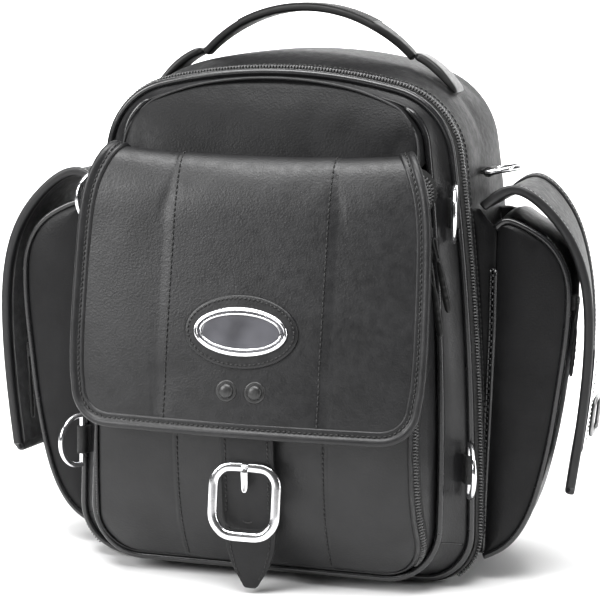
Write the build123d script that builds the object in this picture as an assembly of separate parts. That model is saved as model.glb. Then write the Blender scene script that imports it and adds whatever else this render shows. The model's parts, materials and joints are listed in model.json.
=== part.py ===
"""Motorcycle tail bag: a soft arch-shaped case with a front pocket and two side pockets.

Millimetres, +Z up, the front faces -Y. The origin is the middle of the base that the bag rests on.
"""
from build123d import *
import os
from math import cos, radians, sin

# ---- driving dimensions -------------------------------------------------------------------------
FRAME_Y = -75.0          # plane of the front door, which the frame piping stands on
MOUTH_Y = -59.0          # front edge of the main gusset
REAR_Y = 72.0            # rear edge of the main gusset
WALL = 3.0               # thickness of a padded vinyl wall
FIT = 0.1                # space between neighbouring pieces

# An arch outline: half width at the base, half width at the shoulder, lowest height, shoulder
# height, crown height, how far the sides swell past a straight line, lower and upper corner radius.
BODY_ARCH = (148.0, 122.0, 0.0, 337.0, 357.0, 7.0, 36.0, 56.0)
BODY_ARCH_MIDDLE = (148.0, 121.0, 0.0, 341.0, 365.0, 7.0, 36.0, 62.0)
FRAME_ARCH = (146.0, 121.0, 3.0, 337.0, 357.0, 7.0, 36.0, 54.0)
POCKET_ARCH = (127.0, 107.0, 8.2, 331.0, 350.5, 6.5, 38.0, 34.0)
POCKET_FRONT_ARCH = (109.0, 104.0, 16.0, 318.0, 330.0, 5.0, 28.0, 26.0)

POCKET_BASE_Y = -100.4   # where the front pocket's rear plane meets the ground plane
POCKET_LEAN = 3.0        # that plane leans back by this many degrees
POCKET_FRONT_N = 42.0    # distance from it to the pocket's front outline
PIPING = 5.0             # diameter of the piping
PIPING_TOP = 331.0       # the pocket's piping runs out at this height, beside the upper panel

# The front pocket's surface seen from the side, as (y, z), from its lower edge to the arch.
POCKET_PROFILE = [(-104, 9), (-123, 40), (-136, 100), (-132.5, 180), (-119, 250), (-103, 300), (-83, 352)]
POCKET_ZIP_BACK = 8.0    # the pocket's zipper lies this far behind that surface
POCKET_ZIP_WIDTH = 4.0
POCKET_ZIP_TOP = 289.0   # height at which it crosses under the lid
POCKET_ZIP_LOW = 26.0    # and where it ends at the lower corners

LID_PROFILE = [(-108.5, 300), (-113.5, 301.5), (-119.5, 297), (-132, 250), (-146, 186), (-157.5, 115)]
LID_THICK = 4.0
LID_HALF_TOP = 107.0
LID_HALF_BASE = 125.5
LID_SWELL = 8.5          # how far the lid's sides swell past a straight line
LID_TOP_Z = 310.0
LID_LOW_Z = 113.5
BINDING = 10.0

EMBLEM_X = -2.3
EMBLEM_Z = 184.0
RIVET_X = (-10.3, 9.7)
RIVET_Z = 144.5

STRAP_X = 2.0
STRAP_WIDTH = 38.0
STRAP_THICK = 3.0
STRAP_PROFILE = [(-144.6, 156), (-150.6, 118), (-148.2, 92), (-143.6, 44)]
TAIL_PROFILE = [(-142.4, 76), (-139.0, 44), (-137.0, 2.5)]
SNAP_Z = 62.0            # height of the press stud behind the strap
BUCKLE_Z = 68.0
BUCKLE_Y = -152.4
BUCKLE_LEAN = 7.0
BUCKLE_SIZE = (50.0, 51.0)
BUCKLE_RADIUS = 15.0
BUCKLE_WIRE = 2.75
HINGE_PLAY = 0.08        # radial clearance of a metal piece on its bar

SIDE_FRONT_Y = -47.0     # front face of a side pocket
SIDE_DEPTH = 100.0
SIDE_TAPER = 10.0        # a side pocket is narrower than its front by this at the rear
SIDE_LID_FRONT_Y = -55.0
SIDE_LID_DEPTH = 112.0
SIDE_LID_TAPER = 14.0
SIDE_LID_THICK = 6.0
SIDE_LID_LOW = 67.0
SIDE_LID_FOLD = 151.5    # the lid bends about a line at this x, near its sewn edge

RING_BAR = 36.0          # length of a D-ring's straight bar
RING_BOW = 21.0          # how far its bow stands out
RING_WIRE = 2.0
RING_LOOP_LENGTH = 20.0
FRONT_RING_Y = -84.6
UPPER_RING = (127.4, 263.0)
LOWER_RING = (142.6, 86.5)
# Angle of each front ring's bow from straight ahead, towards the outside.
RING_ANGLES = {"upper_left": 33.0, "upper_right": 12.0, "lower_left": 24.0, "lower_right": 20.0}
SIDE_RING = (135.6, 285.0)
SIDE_RING_Y = 0.0
SIDE_RING_RISE = 10.0

HANDLE_RADIUS = 103.0    # middle of the handle's thickness
HANDLE_CENTRE_Z = 295.0
HANDLE_THICK = 6.0
HANDLE_WIDTH = 28.0
HANDLE_PIVOT = (78.0, 363.6)
HANDLE_PIN = 2.0

# Sliders on the front pocket's zipper: name, place, top of the pull, the pull's lean in degrees.
FRONT_SLIDERS = [
    ("front_upper", (113.6, -111.5, 251.0), (120.4, -113.2, 247.6), 13.0),
    ("front_lower", (114.6, -114.5, 236.0), (119.4, -119.6, 232.4), 10.0),
]

SLEEVE = (190.0, 18.0, 210.0)
SLEEVE_LOW = 60.0

parts = {}


# ---- helpers ------------------------------------------------------------------------------------
def arch(shape, inset=0.0):
    """An arch-shaped face in XY, moved inwards by inset."""
    base, top, low, shoulder, crown, swell, low_radius, top_radius = shape
    base, top = base - inset, top - inset
    low, shoulder, crown = low + inset, shoulder - inset, crown - inset
    middle = ((base + top) / 2 + swell, (low + shoulder) / 2)
    face = make_face([
        Line((-base, low), (base, low)),
        ThreePointArc((base, low), middle, (top, shoulder)),
        ThreePointArc((top, shoulder), (0, crown), (-top, shoulder)),
        ThreePointArc((-top, shoulder), (-middle[0], middle[1]), (-base, low)),
    ])
    face = fillet(face.vertices().sort_by(Axis.Y)[:2], max(low_radius - inset, 4.0))
    return fillet(face.vertices().sort_by(Axis.Y)[-2:], max(top_radius - inset, 4.0))


def upright(y):
    """The plane through y that faces the front."""
    return Plane(origin=(0, y, 0), x_dir=(1, 0, 0), z_dir=(0, -1, 0))


def pocket_plane(forward=0.0):
    """The front pocket's leaning plane, moved forward."""
    lean = radians(POCKET_LEAN)
    plane = Plane(origin=(0, POCKET_BASE_Y, 0), x_dir=(1, 0, 0), z_dir=(0, -cos(lean), sin(lean)))
    return plane.offset(forward)


def slab(face, front, back):
    """A face drawn in XY, stood up and made solid between two values of y."""
    return extrude(upright(back) * face, back - front)


def ring_slab(outline, inset, thickness, front, back):
    """A band that follows an arch outline."""
    return slab(arch(outline, inset) - arch(outline, inset + thickness), front, back)


def side_band(points, thickness, half_width):
    """A curved sheet: a line in the YZ plane given a thickness, across X."""
    return extrude(Plane.YZ * trace(Spline(*points), thickness), half_width, both=True)


def slab_x(face, half_width):
    """A face drawn in the YZ plane, made solid across X."""
    return extrude(Plane.YZ * face, half_width, both=True)


def mirrored(solid):
    return mirror(solid, about=Plane.YZ)


def cylinder_between(start, end, radius):
    """A round bar from one point to another."""
    axis = Vector(*end) - Vector(*start)
    return extrude(Plane(origin=start, z_dir=axis) * Circle(radius), axis.length)


def tube(line, radius):
    """A round section swept along one smooth line."""
    return sweep((line ^ 0) * Circle(radius), path=line)


def keep_solids(shape):
    """The solids of a result, as one compound."""
    solids = shape.solids()
    return solids[0] if len(solids) == 1 else Compound(children=list(solids))


# ---- main compartment ---------------------------------------------------------------------------
def loft_body(inset):
    """The main body's volume: it rises behind the front frame and stays level to the rear."""
    stations = [(MOUTH_Y, BODY_ARCH), (MOUTH_Y + 34, BODY_ARCH_MIDDLE), (REAR_Y, BODY_ARCH_MIDDLE)]
    return loft([upright(y) * arch(outline, inset) for y, outline in stations], ruled=True)


def main_compartment():
    parts["main_gusset"] = loft_body(0) - loft_body(WALL)
    parts["back_panel"] = slab(arch(BODY_ARCH_MIDDLE, 0.5), REAR_Y + 0.05, REAR_Y + 4)
    base_width, base_depth, base_thick = 2 * 108.0, 118.0, 2.5
    board = Box(base_width, base_depth, base_thick)
    base = Pos(0, 5, WALL + base_thick / 2 + 0.05) * fillet(board.edges().filter_by(Axis.Z), 12)
    back = slab(arch(BODY_ARCH_MIDDLE, 14), REAR_Y - base_thick, REAR_Y)
    parts["stiffener_boards"] = Compound(children=[base, back])
    teeth_width, teeth_back = 4.0, MOUTH_Y - 5.6
    teeth = ring_slab(BODY_ARCH, 0.5, 2.4, teeth_back - teeth_width, teeth_back)
    tape = ring_slab(BODY_ARCH, 1.2, 1.2, teeth_back + FIT, MOUTH_Y - FIT)
    parts["main_zipper"] = Compound(children=[teeth, tape])


def rear_fittings():
    """A sleeve that slips over a passenger backrest, between two webbing straps."""
    width, depth, height = SLEEVE
    middle = Pos(0, REAR_Y + 4.1 + depth / 2, SLEEVE_LOW + height / 2)
    outer = middle * Box(width, depth, height)
    inner = middle * Box(width - 2 * WALL, depth - 2 * WALL, height + 2)
    parts["bar_sleeve"] = fillet(outer.edges().filter_by(Axis.Z), 4) - inner
    strap_width, strap_thick, strap_x = 25.0, 2.0, 113.0
    strap = Box(strap_width, strap_thick, height)
    strap_y = REAR_Y + 4.1 + strap_thick / 2
    straps = [Pos(x, strap_y, SLEEVE_LOW + height / 2) * strap for x in (-strap_x, strap_x)]
    parts["mounting_straps"] = Compound(children=straps)


# ---- front door: the panel that the main zipper frees, with the front pocket on it -------------------
def front_door():
    front, board = FRAME_Y - FIT, 2.9
    parts["door_panel"] = slab(arch(FRAME_ARCH, 1), FRAME_Y, FRAME_Y + board)
    parts["door_zipper_tape"] = ring_slab(FRAME_ARCH, 0.5, 1.5, FRAME_Y + 3, FRAME_Y + 6)
    parts["frame_piping"] = ring_slab(FRAME_ARCH, 0, PIPING, front - PIPING, front)
    near, far, thick = upright(front), pocket_plane(), 2.5
    outer = loft([near * arch(FRAME_ARCH, PIPING + FIT), far * arch(POCKET_ARCH)])
    inner = loft([near * arch(FRAME_ARCH, PIPING + FIT + thick), far * arch(POCKET_ARCH, thick)])
    parts["front_gusset"] = outer - inner
    ring = arch(POCKET_ARCH, -1) - arch(POCKET_ARCH, PIPING - 1)
    parts["pocket_piping"] = extrude(pocket_plane(FIT) * ring, PIPING) & layer(0, PIPING_TOP)


def pocket_volume(inset):
    """The front pocket's volume: a tapering block cut to the curved profile."""
    back = pocket_plane(0.1 - 4 * inset) * arch(POCKET_ARCH, 4.1 + inset)
    front = pocket_plane(POCKET_FRONT_N) * arch(POCKET_FRONT_ARCH, inset)
    return loft([back, front]) & ahead_of_profile(inset, False)


def ahead_of_profile(shift, in_front=True):
    """Everything in front of the pocket's profile moved back by shift, or everything behind it."""
    points = [(y + shift, z) for y, z in POCKET_PROFILE]
    far = -220.0 if in_front else 0.0
    top, low = points[-1], points[0]
    outline = [Spline(*points), Line(top, (far, top[1])), Line((far, top[1]), (far, low[1])),
               Line((far, low[1]), low)]
    return slab_x(make_face(outline), 160)


def layer(low, high):
    """All space between two heights."""
    return Pos(0, -100, (low + high) / 2) * Box(320, 240, high - low)


def front_pocket():
    shell = pocket_volume(0) - pocket_volume(WALL)
    split = POCKET_ZIP_TOP + POCKET_ZIP_WIDTH / 2
    parts["upper_panel"] = shell & layer(split + 0.1, 360)
    front = ahead_of_profile(POCKET_ZIP_BACK)
    behind = ahead_of_profile(POCKET_ZIP_BACK + POCKET_ZIP_WIDTH + 0.2, False)
    sides = layer(POCKET_ZIP_LOW, split)
    crossing = layer(POCKET_ZIP_TOP - POCKET_ZIP_WIDTH / 2, split)
    below = shell & layer(0, POCKET_ZIP_TOP - POCKET_ZIP_WIDTH / 2 - 0.1)
    parts["front_pocket_gusset"] = keep_solids(shell & sides & behind)
    panel = (below & front) + (below & layer(0, POCKET_ZIP_LOW - 0.2))
    parts["front_pocket_panel"] = panel
    near, far = POCKET_ZIP_BACK + FIT, POCKET_ZIP_BACK + POCKET_ZIP_WIDTH
    band = ahead_of_profile(near, False) - ahead_of_profile(far, False)
    parts["front_zipper"] = keep_solids((shell & sides & band) + (shell & crossing & front))
    stud_plane = upright(-131.2) * Pos(STRAP_X, SNAP_Z, 0)
    stud = extrude(stud_plane * Circle(6), 1.4) + extrude(stud_plane * Circle(3.6), 4.6)
    parts["snap_stud"] = stud - parts["front_pocket_panel"]


# ---- front lid with its emblem, strap and buckle ------------------------------------------------------
def lid_outline(inset):
    """The lid's outline from the front: it widens downwards and its lower corners are round."""
    top, base, low = LID_HALF_TOP - inset, LID_HALF_BASE - inset, LID_LOW_Z + inset
    middle = ((top + base) / 2 + LID_SWELL, (LID_TOP_Z + low) / 2 + 10)
    face = make_face([
        Line((-base, low), (base, low)),
        ThreePointArc((base, low), middle, (top, LID_TOP_Z)),
        Line((top, LID_TOP_Z), (-top, LID_TOP_Z)),
        ThreePointArc((-top, LID_TOP_Z), (-middle[0], middle[1]), (-base, low)),
    ])
    return fillet(face.vertices().sort_by(Axis.Y)[:2], 28 - inset)


def lid_plane(x, z, forward):
    """The plane that touches the lid's outer face at a height, moved forward."""
    curve = Spline(*LID_PROFILE)
    high, low = 0.3, 1.0
    for _ in range(30):
        middle = (high + low) / 2
        high, low = (middle, low) if (curve @ middle).Y > z else (high, middle)
    point, along = curve @ middle, curve % middle
    plane = Plane(origin=(x, point.X, point.Y), x_dir=(1, 0, 0), z_dir=(0, along.Y, -along.X))
    return plane.offset(LID_THICK / 2 + forward)


def front_lid():
    reach = 135.0
    panel = side_band(LID_PROFILE, LID_THICK, reach)
    parts["front_lid"] = panel & slab(lid_outline(BINDING + 0.1), -200, -90)
    thick = side_band(LID_PROFILE, LID_THICK + 2, reach)
    edge = slab(lid_outline(0) - lid_outline(BINDING), -200, -90) & layer(100, LID_PROFILE[2][1] - 1)
    parts["front_lid_binding"] = keep_solids(thick & edge)
    patch = lid_plane(EMBLEM_X, EMBLEM_Z, 0.3)
    parts["emblem_patch"] = extrude(patch * Ellipse(40, 25), 1.5)
    parts["emblem_plate"] = extrude(patch.offset(1.6) * Ellipse(29.3, 13.2), 1.8)
    parts["emblem_ring"] = extrude(patch.offset(1.6) * (Ellipse(33, 16.6) - Ellipse(29.5, 13.4)), 3.4)
    rivets = []
    for x in RIVET_X:
        plane = lid_plane(x, RIVET_Z, 0.2)
        dome = extrude(plane * Circle(5.8), 1.2) + extrude(plane * Circle(4.2), 3.2)
        rivets.append(dome)
    parts["strap_rivets"] = Compound(children=rivets)


def strap_end(low, half_width, point):
    """A strap's front outline with a pointed lower end."""
    return make_face(Polyline((-half_width, 200), (half_width, 200), (half_width, low + point),
                              (5, low), (-5, low), (-half_width, low + point), close=True))


def closure_strap():
    half = STRAP_WIDTH / 2
    outline = Pos(STRAP_X, 0) * strap_end(STRAP_PROFILE[-1][1] + 1, half, 5)
    parts["closure_strap"] = side_band(STRAP_PROFILE, STRAP_THICK, 40) & slab(outline, -200, -100)
    tail_outline = Pos(STRAP_X, 0) * strap_end(TAIL_PROFILE[-1][1] + 0.2, half, 24)
    parts["strap_tail"] = side_band(TAIL_PROFILE, STRAP_THICK, 40) & slab(tail_outline, -200, -100)
    socket_plane = upright(-133.6) * Pos(STRAP_X, SNAP_Z, 0)
    socket = extrude(socket_plane * (Circle(7) - Circle(5)), 5.0)
    parts["snap_socket"] = socket - parts["strap_tail"]


def buckle_plane():
    """The plane of the buckle's frame, which leans with the strap."""
    slope = radians(BUCKLE_LEAN)
    return Plane(origin=(STRAP_X, BUCKLE_Y, BUCKLE_Z), x_dir=(1, 0, 0), z_dir=(0, -cos(slope), -sin(slope)))


def buckle():
    plane = buckle_plane()
    width, height = BUCKLE_SIZE
    path = (plane * RectangleRounded(width, height, BUCKLE_RADIUS)).wire()
    start = path ^ 0
    parts["buckle_frame"] = sweep(start * Circle(BUCKLE_WIRE), path=path)
    bar = plane.location * Pos(0, height / 2, 0)
    bore = BUCKLE_WIRE + HINGE_PLAY
    barrel = extrude(Plane.YZ * (Circle(bore + 1.3) - Circle(bore)), 2.5, both=True)
    tongue = Pos(0, -10.0, 0.6) * Box(4.5, 12.5, 2.2)
    tip = Pos(0, -16.2, 0.6) * Box(4.5, 2.2, 2.2)
    parts["buckle_prong"] = bar * (barrel + tongue + tip)


# ---- side pockets and their lids ------------------------------------------------------------------
def side_outline(taper, inset=0.0, inner=None):
    """A side pocket seen from the front: a shield that narrows downwards to the body's side."""
    outer, waist = 201.0 - taper - inset, 187.0 - taper - inset
    root_top, root_low = 136.0, 150.0
    top, low = 253.0 - inset, 19.0 + inset
    shoulder_z, waist_z = 212.0, 85.0
    outline = [
        Line((root_top, top), (outer - 26, top - 5)),
        ThreePointArc((outer - 26, top - 5), (outer - 7, top - 17.5), (outer, shoulder_z)),
        ThreePointArc((outer, shoulder_z), (outer - 4.5, 150), (waist, waist_z)),
        ThreePointArc((waist, waist_z), (waist - 12, 46), (root_low, low)),
    ]
    if inner is None:
        return make_face(outline + [Line((root_low, low), (root_top, top))])
    return make_face(outline + [Line((root_low, low), (inner, low)), Line((inner, low), (inner, top)),
                                Line((inner, top), (root_top, top))])


def side_volume(inset, front, back, inner=None):
    near = upright(front) * side_outline(0, inset, inner)
    far = upright(back) * side_outline(SIDE_TAPER, inset, inner)
    return loft([near, far])


def side_pocket():
    front, back = SIDE_FRONT_Y, SIDE_FRONT_Y + SIDE_DEPTH
    body = slab(arch(BODY_ARCH_MIDDLE, -0.3), -60, 80)
    outer = side_volume(0, front, back) - body
    hollow = side_volume(WALL, front, back, inner=130.0)
    wrap = outer - hollow
    faces = (outer & hollow)
    near = faces & (Pos(0, front + WALL / 2, 150) * Box(500, WALL, 400))
    far = faces & (Pos(0, back - WALL / 2, 150) * Box(500, WALL, 400))
    parts["right_pocket_wrap"] = keep_solids(wrap)
    parts["right_pocket_end"] = Compound(children=near.solids() + far.solids())
    band = upright(front - 0.1) * (side_outline(0, -1.5) - side_outline(0, 3.2, inner=120.0))
    parts["right_pocket_piping"] = keep_solids(extrude(band, PIPING - 0.5) - body)
    zip_y = front + 6
    teeth = side_volume(-2.0, front, back) - side_volume(-0.5, front, back, inner=120.0) - body
    teeth = teeth & (Pos(0, zip_y, 175) * Box(500, POCKET_ZIP_WIDTH, 185))
    parts["right_pocket_zipper"] = keep_solids(teeth)


def side_lid_path(taper, offset=0.0):
    """The middle of a side lid's thickness, from its sewn edge over the pocket and down outside it."""
    return Spline((138.5, 263), (160, 276), (186 - taper * 0.5, 262), (208.5 + offset - taper, 228),
                  (216 + offset - taper, 165), (206.5 + offset - taper, 66))


def side_lid():
    front, back = SIDE_LID_FRONT_Y, SIDE_LID_FRONT_Y + SIDE_LID_DEPTH
    near = upright(front) * trace(side_lid_path(0), SIDE_LID_THICK)
    far = upright(back) * trace(side_lid_path(SIDE_LID_TAPER), SIDE_LID_THICK)
    lid = loft([near, far])
    middle = Pos(0, (front + back) / 2, SIDE_LID_LOW + BINDING + 150)
    depth = SIDE_LID_DEPTH - 2 * BINDING
    fold = SIDE_LID_FOLD
    parts["right_lid_root"] = lid & (Pos(fold - 50.2, 0, 300) * Box(100, 300, 200))
    lid = lid & (Pos(fold + 50, 0, 150) * Box(100, 300, 400))
    parts["right_lid"] = keep_solids(lid & (middle * Box(600, depth - 0.2, 300)))
    parts["right_lid_binding"] = keep_solids(lid - (middle * Box(600, depth, 300.2)))
    strap_face = make_face(Polyline((214.6, 160), (217.6, 160), (211.8, 88), (208.8, 88), close=True))
    parts["right_lid_strap"] = extrude(Plane.XZ * strap_face, 11, both=True)
    path = Plane(origin=(216.1, 0, 114), x_dir=(0, 1, 0), z_dir=(1, 0, -0.1))
    frame = (path * RectangleRounded(29, 26, 6)).wire()
    parts["right_lid_buckle"] = sweep((frame ^ 0) * Circle(1.6), path=frame)


# ---- D-rings ----------------------------------------------------------------------------------------
def d_ring():
    """A ring whose bar lies on Z through the origin and whose bow points to +X."""
    half = RING_BAR / 2
    bow = tube(ThreePointArc((0, 0, -half), (RING_BOW, 0, 0), (0, 0, half)), RING_WIRE)
    bar = Pos(0, 0, -half) * extrude(Plane.XY * Circle(RING_WIRE), RING_BAR)
    ends = [Pos(0, 0, z) * Sphere(RING_WIRE) for z in (-half, half)]
    return bow + bar + ends[0] + ends[1]


def ring_loop(tab):
    """A folded webbing loop round a ring's bar, with a tab towards -X."""
    bore = RING_WIRE + 0.1
    barrel = extrude(Plane.XY * (Circle(bore + 1.5) - Circle(bore)), RING_LOOP_LENGTH / 2, both=True)
    lug = Pos(-bore - 1.2 - tab / 2, 0, 0) * Box(tab, 2.4, RING_LOOP_LENGTH)
    return barrel + lug


def rings():
    loops = []
    for level, (x, z) in (("upper", UPPER_RING), ("lower", LOWER_RING)):
        for side, sign in (("left", -1), ("right", 1)):
            name = level + "_" + side
            angle = RING_ANGLES[name]
            heading = -90 + angle if sign > 0 else -90 - angle
            place = Pos(sign * x, FRONT_RING_Y, z)
            parts[name + "_ring"] = place * Rot(0, 0, heading) * d_ring()
            loops.append(place * Rot(0, 0, -45 if sign > 0 else -135) * ring_loop(1.6))
    parts["front_ring_loops"] = Compound(children=loops)
    side_loops = []
    x, z = SIDE_RING
    lying = Rot(90, 0, 0)
    for side, sign in (("left", -1), ("right", 1)):
        turn = Rot(0, -SIDE_RING_RISE, 0) if sign > 0 else Rot(0, 180 + SIDE_RING_RISE, 0)
        place = Pos(sign * x, SIDE_RING_Y, z)
        parts[side + "_side_ring"] = place * turn * lying * d_ring()
        loop_turn = Rot(0, 0, 0) if sign > 0 else Rot(0, 180, 0)
        side_loops.append(place * loop_turn * lying * ring_loop(2.5))
    parts["side_ring_loops"] = Compound(children=side_loops)


# ---- handle -----------------------------------------------------------------------------------------
def handle():
    x, z = HANDLE_PIVOT
    arc = ThreePointArc((-x, z), (0, HANDLE_CENTRE_Z + HANDLE_RADIUS), (x, z))
    strap = extrude(Plane.XZ * trace(arc, HANDLE_THICK), HANDLE_WIDTH / 2, both=True)
    taper = make_face(Polyline((-x - 4, -7), (-x + 30, -14), (x - 30, -14), (x + 4, -7), (x + 4, 7),
                               (x - 30, 14), (-x + 30, 14), (-x - 4, 7), close=True))
    strap = strap & extrude(Plane.XY * taper, 420)
    pins, anchors = [], []
    near, far = x + 5.5, x + 34
    anchor_face = make_face(Polyline((near, z + 4), (near, z - 13), (far - 8, z - 26), (far - 1, z - 34),
                                     (far, z - 26), (x + 17, z - 4), close=True))
    pin_start, pin_end = x + 2.6, x + 13.0
    for sign in (-1, 1):
        pins.append(cylinder_between((sign * pin_start, 0, z), (sign * pin_end, 0, z), HANDLE_PIN))
        block = extrude(Plane.XZ * anchor_face, 15, both=True)
        bore = cylinder_between((x, 0, z), (pin_end + 1.0, 0, z), HANDLE_PIN + HINGE_PLAY)
        body = loft_body(-0.1)
        block = block - bore
        block = (block if sign > 0 else mirrored(block)) - body
        anchors.append(block.solids().sort_by(SortBy.VOLUME)[-1])
    parts["handle"] = strap + pins[0] + pins[1]
    parts["handle_anchors"] = Compound(children=anchors)


# ---- zipper sliders and pulls ---------------------------------------------------------------------------
def slider(place):
    """A zipper slider: a small body with an eye on its outer side. Outwards is +X here."""
    body = Pos(1.6, 0, 0) * Box(3.2, 7, 10)
    eye = Pos(4.2, 0, 1.5) * (Box(3, 2, 6) - Box(1.6, 3, 3.4))
    return place * (body + eye)


def pull(place, lean):
    """A cord pull that hangs from a slider's eye, tilted outwards by lean degrees."""
    cord = Pos(0, 0, -9) * Box(2, 2.4, 14)
    grip = Pos(0, 0, -33) * Box(3.2, 5.6, 34)
    return place * Rot(0, -lean, 0) * (cord + grip)


def front_sliders():
    for name, place, eye, lean in FRONT_SLIDERS:
        parts[name + "_slider"] = slider(Pos(*place) * Rot(0, 0, -18))
        parts[name + "_pull"] = pull(Pos(*eye), lean)


def body_sliders():
    place = Pos(-138.5, -66.6, 236) * Rot(0, 0, 180)
    parts["main_slider"] = slider(place)
    parts["main_pull"] = pull(Pos(-144.2, -66.6, 233), -4)
    for side, sign, x, z in (("right", 1, 202.5, 200.0), ("left", -1, 198.5, 142.0)):
        y = SIDE_FRONT_Y + 6
        turn = Rot(0, 0, 0) if sign > 0 else Rot(0, 0, 180)
        parts[side + "_pocket_slider"] = slider(Pos(sign * x, y, z) * turn)
        parts[side + "_pocket_pull"] = pull(Pos(sign * (x + 4.6), y, z - 3), -4 * sign)


def build():
    main_compartment()
    rear_fittings()
    front_door()
    front_pocket()
    front_lid()
    closure_strap()
    buckle()
    side_pocket()
    side_lid()
    for name in ("lid", "lid_binding", "lid_strap", "lid_buckle"):
        parts["left_" + name] = mirrored(parts["right_" + name])
    for name in ("pocket_wrap", "pocket_end", "pocket_piping", "pocket_zipper", "lid_root"):
        solids = parts.pop("right_" + name).solids()
        parts["side_" + name + "s"] = Compound(children=solids + [mirrored(solid) for solid in solids])
    rings()
    handle()
    front_sliders()
    body_sliders()


build()
os.makedirs("parts", exist_ok=True)
for node, shape in parts.items():
    export_step(shape, "parts/" + node + ".step")
print(len(parts), "nodes")
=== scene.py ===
import json
import math

import bmesh
import bpy
import numpy as np
from mathutils import Matrix, Vector


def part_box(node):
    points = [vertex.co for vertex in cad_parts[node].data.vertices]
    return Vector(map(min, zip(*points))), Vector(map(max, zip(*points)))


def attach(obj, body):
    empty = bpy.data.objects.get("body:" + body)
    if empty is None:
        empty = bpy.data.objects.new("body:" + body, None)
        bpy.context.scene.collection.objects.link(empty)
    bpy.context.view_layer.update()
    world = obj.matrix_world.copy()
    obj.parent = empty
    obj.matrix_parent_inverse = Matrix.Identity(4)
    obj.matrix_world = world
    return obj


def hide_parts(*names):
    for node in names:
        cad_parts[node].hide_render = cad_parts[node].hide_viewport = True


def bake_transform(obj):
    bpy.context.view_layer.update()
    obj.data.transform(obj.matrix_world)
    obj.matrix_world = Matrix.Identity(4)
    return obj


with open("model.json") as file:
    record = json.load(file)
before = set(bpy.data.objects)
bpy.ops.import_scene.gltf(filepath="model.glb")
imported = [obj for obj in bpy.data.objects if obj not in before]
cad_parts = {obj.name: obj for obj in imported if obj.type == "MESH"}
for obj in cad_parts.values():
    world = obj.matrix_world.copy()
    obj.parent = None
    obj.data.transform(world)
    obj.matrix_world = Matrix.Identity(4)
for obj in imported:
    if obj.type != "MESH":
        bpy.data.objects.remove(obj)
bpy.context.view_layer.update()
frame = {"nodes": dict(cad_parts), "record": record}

# A motorcycle tail bag in black grained vinyl. Shapes are worked out in millimetres, in the frame of the CAD
# model, and become metres when a piece is made. Each sub-part has its own function below.
MM = 0.001

CAMERA_PLACE = (421.9, -1487.1, 420.8)
CAMERA_AIM = (17.0, -75.0, 196.0)
CAMERA_LENS = 127.4
CAMERA_ROLL = 0.84

# Arch outlines: half width at the base, half width at the shoulder, lowest height, shoulder height, crown
# height, how far the sides swell, lower and upper corner radius.
BODY_ARCH = (148.0, 122.0, 0.0, 337.0, 357.0, 7.0, 36.0, 56.0)
BODY_ARCH_MIDDLE = (148.0, 121.0, 0.0, 341.0, 365.0, 7.0, 36.0, 62.0)
FRAME_ARCH = (146.0, 121.0, 3.0, 337.0, 357.0, 7.0, 36.0, 54.0)
POCKET_ARCH = (127.0, 107.0, 8.2, 331.0, 350.5, 6.5, 38.0, 34.0)
POCKET_FRONT_ARCH = (109.0, 104.0, 16.0, 318.0, 330.0, 5.0, 28.0, 26.0)
ARCH_MIDDLE_Z = 180.0
ARCH_COUNTS = (18, 12, 44, 12, 20)     # points on the base, corner, side, corner and top of half an arch

DOOR_Y = -75.0
MOUTH_Y = -59.0
REAR_Y = 72.0
ZIPPER_Y = -66.6
POCKET_BASE_Y = -100.4
POCKET_MIDDLE_Z = 150.0
POCKET_LEAN = math.radians(3.0)
POCKET_DEPTH = 42.0
POCKET_PROFILE = [(-104, 9), (-123, 40), (-136, 100), (-132.5, 180), (-119, 250), (-103, 300), (-83, 352)]
POCKET_ZIP_BACK = 10.0      # how far the zipper lies behind the pocket's front edge
POCKET_ZIP_TOP = 289.0
PIPING = 2.5

# The lid's section as (y, z), from its sewn edge over the roll to its bottom edge, and its half width at each
# height, from the top down.
LID_PATH = [(-103.5, 291), (-107, 299.5), (-113, 303.6), (-119.5, 301.5), (-125.5, 294.5), (-130, 284),
            (-137, 250), (-148.5, 186), (-154.5, 150), (-159.8, 113.5)]
LID_EDGE = [(104.0, 304), (110.5, 301), (115.0, 293), (119.5, 281), (122.5, 266), (124.5, 240), (125.5, 200),
            (125.3, 160), (124.0, 140)]
LID_CORNER = 27.0
LID_SEAM = 54.0
POCKET_SEAM = 52.0
BINDING = 10.0


# ---- shapes --------------------------------------------------------------------------------------------
def unit(vectors):
    length = np.linalg.norm(vectors, axis=-1, keepdims=True)
    return vectors / np.maximum(length, 1e-9)


def curve(points, count):
    """A natural cubic spline through points."""
    p = np.array(points, float)
    t = np.concatenate([[0.0], np.cumsum(np.linalg.norm(np.diff(p, axis=0), axis=1))])
    h, n = np.diff(t), len(p)
    a, b = np.eye(n), np.zeros_like(p)
    for i in range(1, n - 1):
        a[i, i - 1:i + 2] = h[i - 1], 2 * (h[i - 1] + h[i]), h[i]
        b[i] = 6 * ((p[i + 1] - p[i]) / h[i] - (p[i] - p[i - 1]) / h[i - 1])
    m = np.linalg.solve(a, b)
    s = np.linspace(0, t[-1], count)
    k = np.clip(np.searchsorted(t, s, side="right") - 1, 0, n - 2)
    left, right, w = (s - t[k])[:, None], (t[k + 1] - s)[:, None], h[k][:, None]
    bend = (m[k] * right ** 3 + m[k + 1] * left ** 3) / (6 * w)
    return bend + (p[k] / w - m[k] * w / 6) * right + (p[k + 1] / w - m[k + 1] * w / 6) * left


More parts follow.
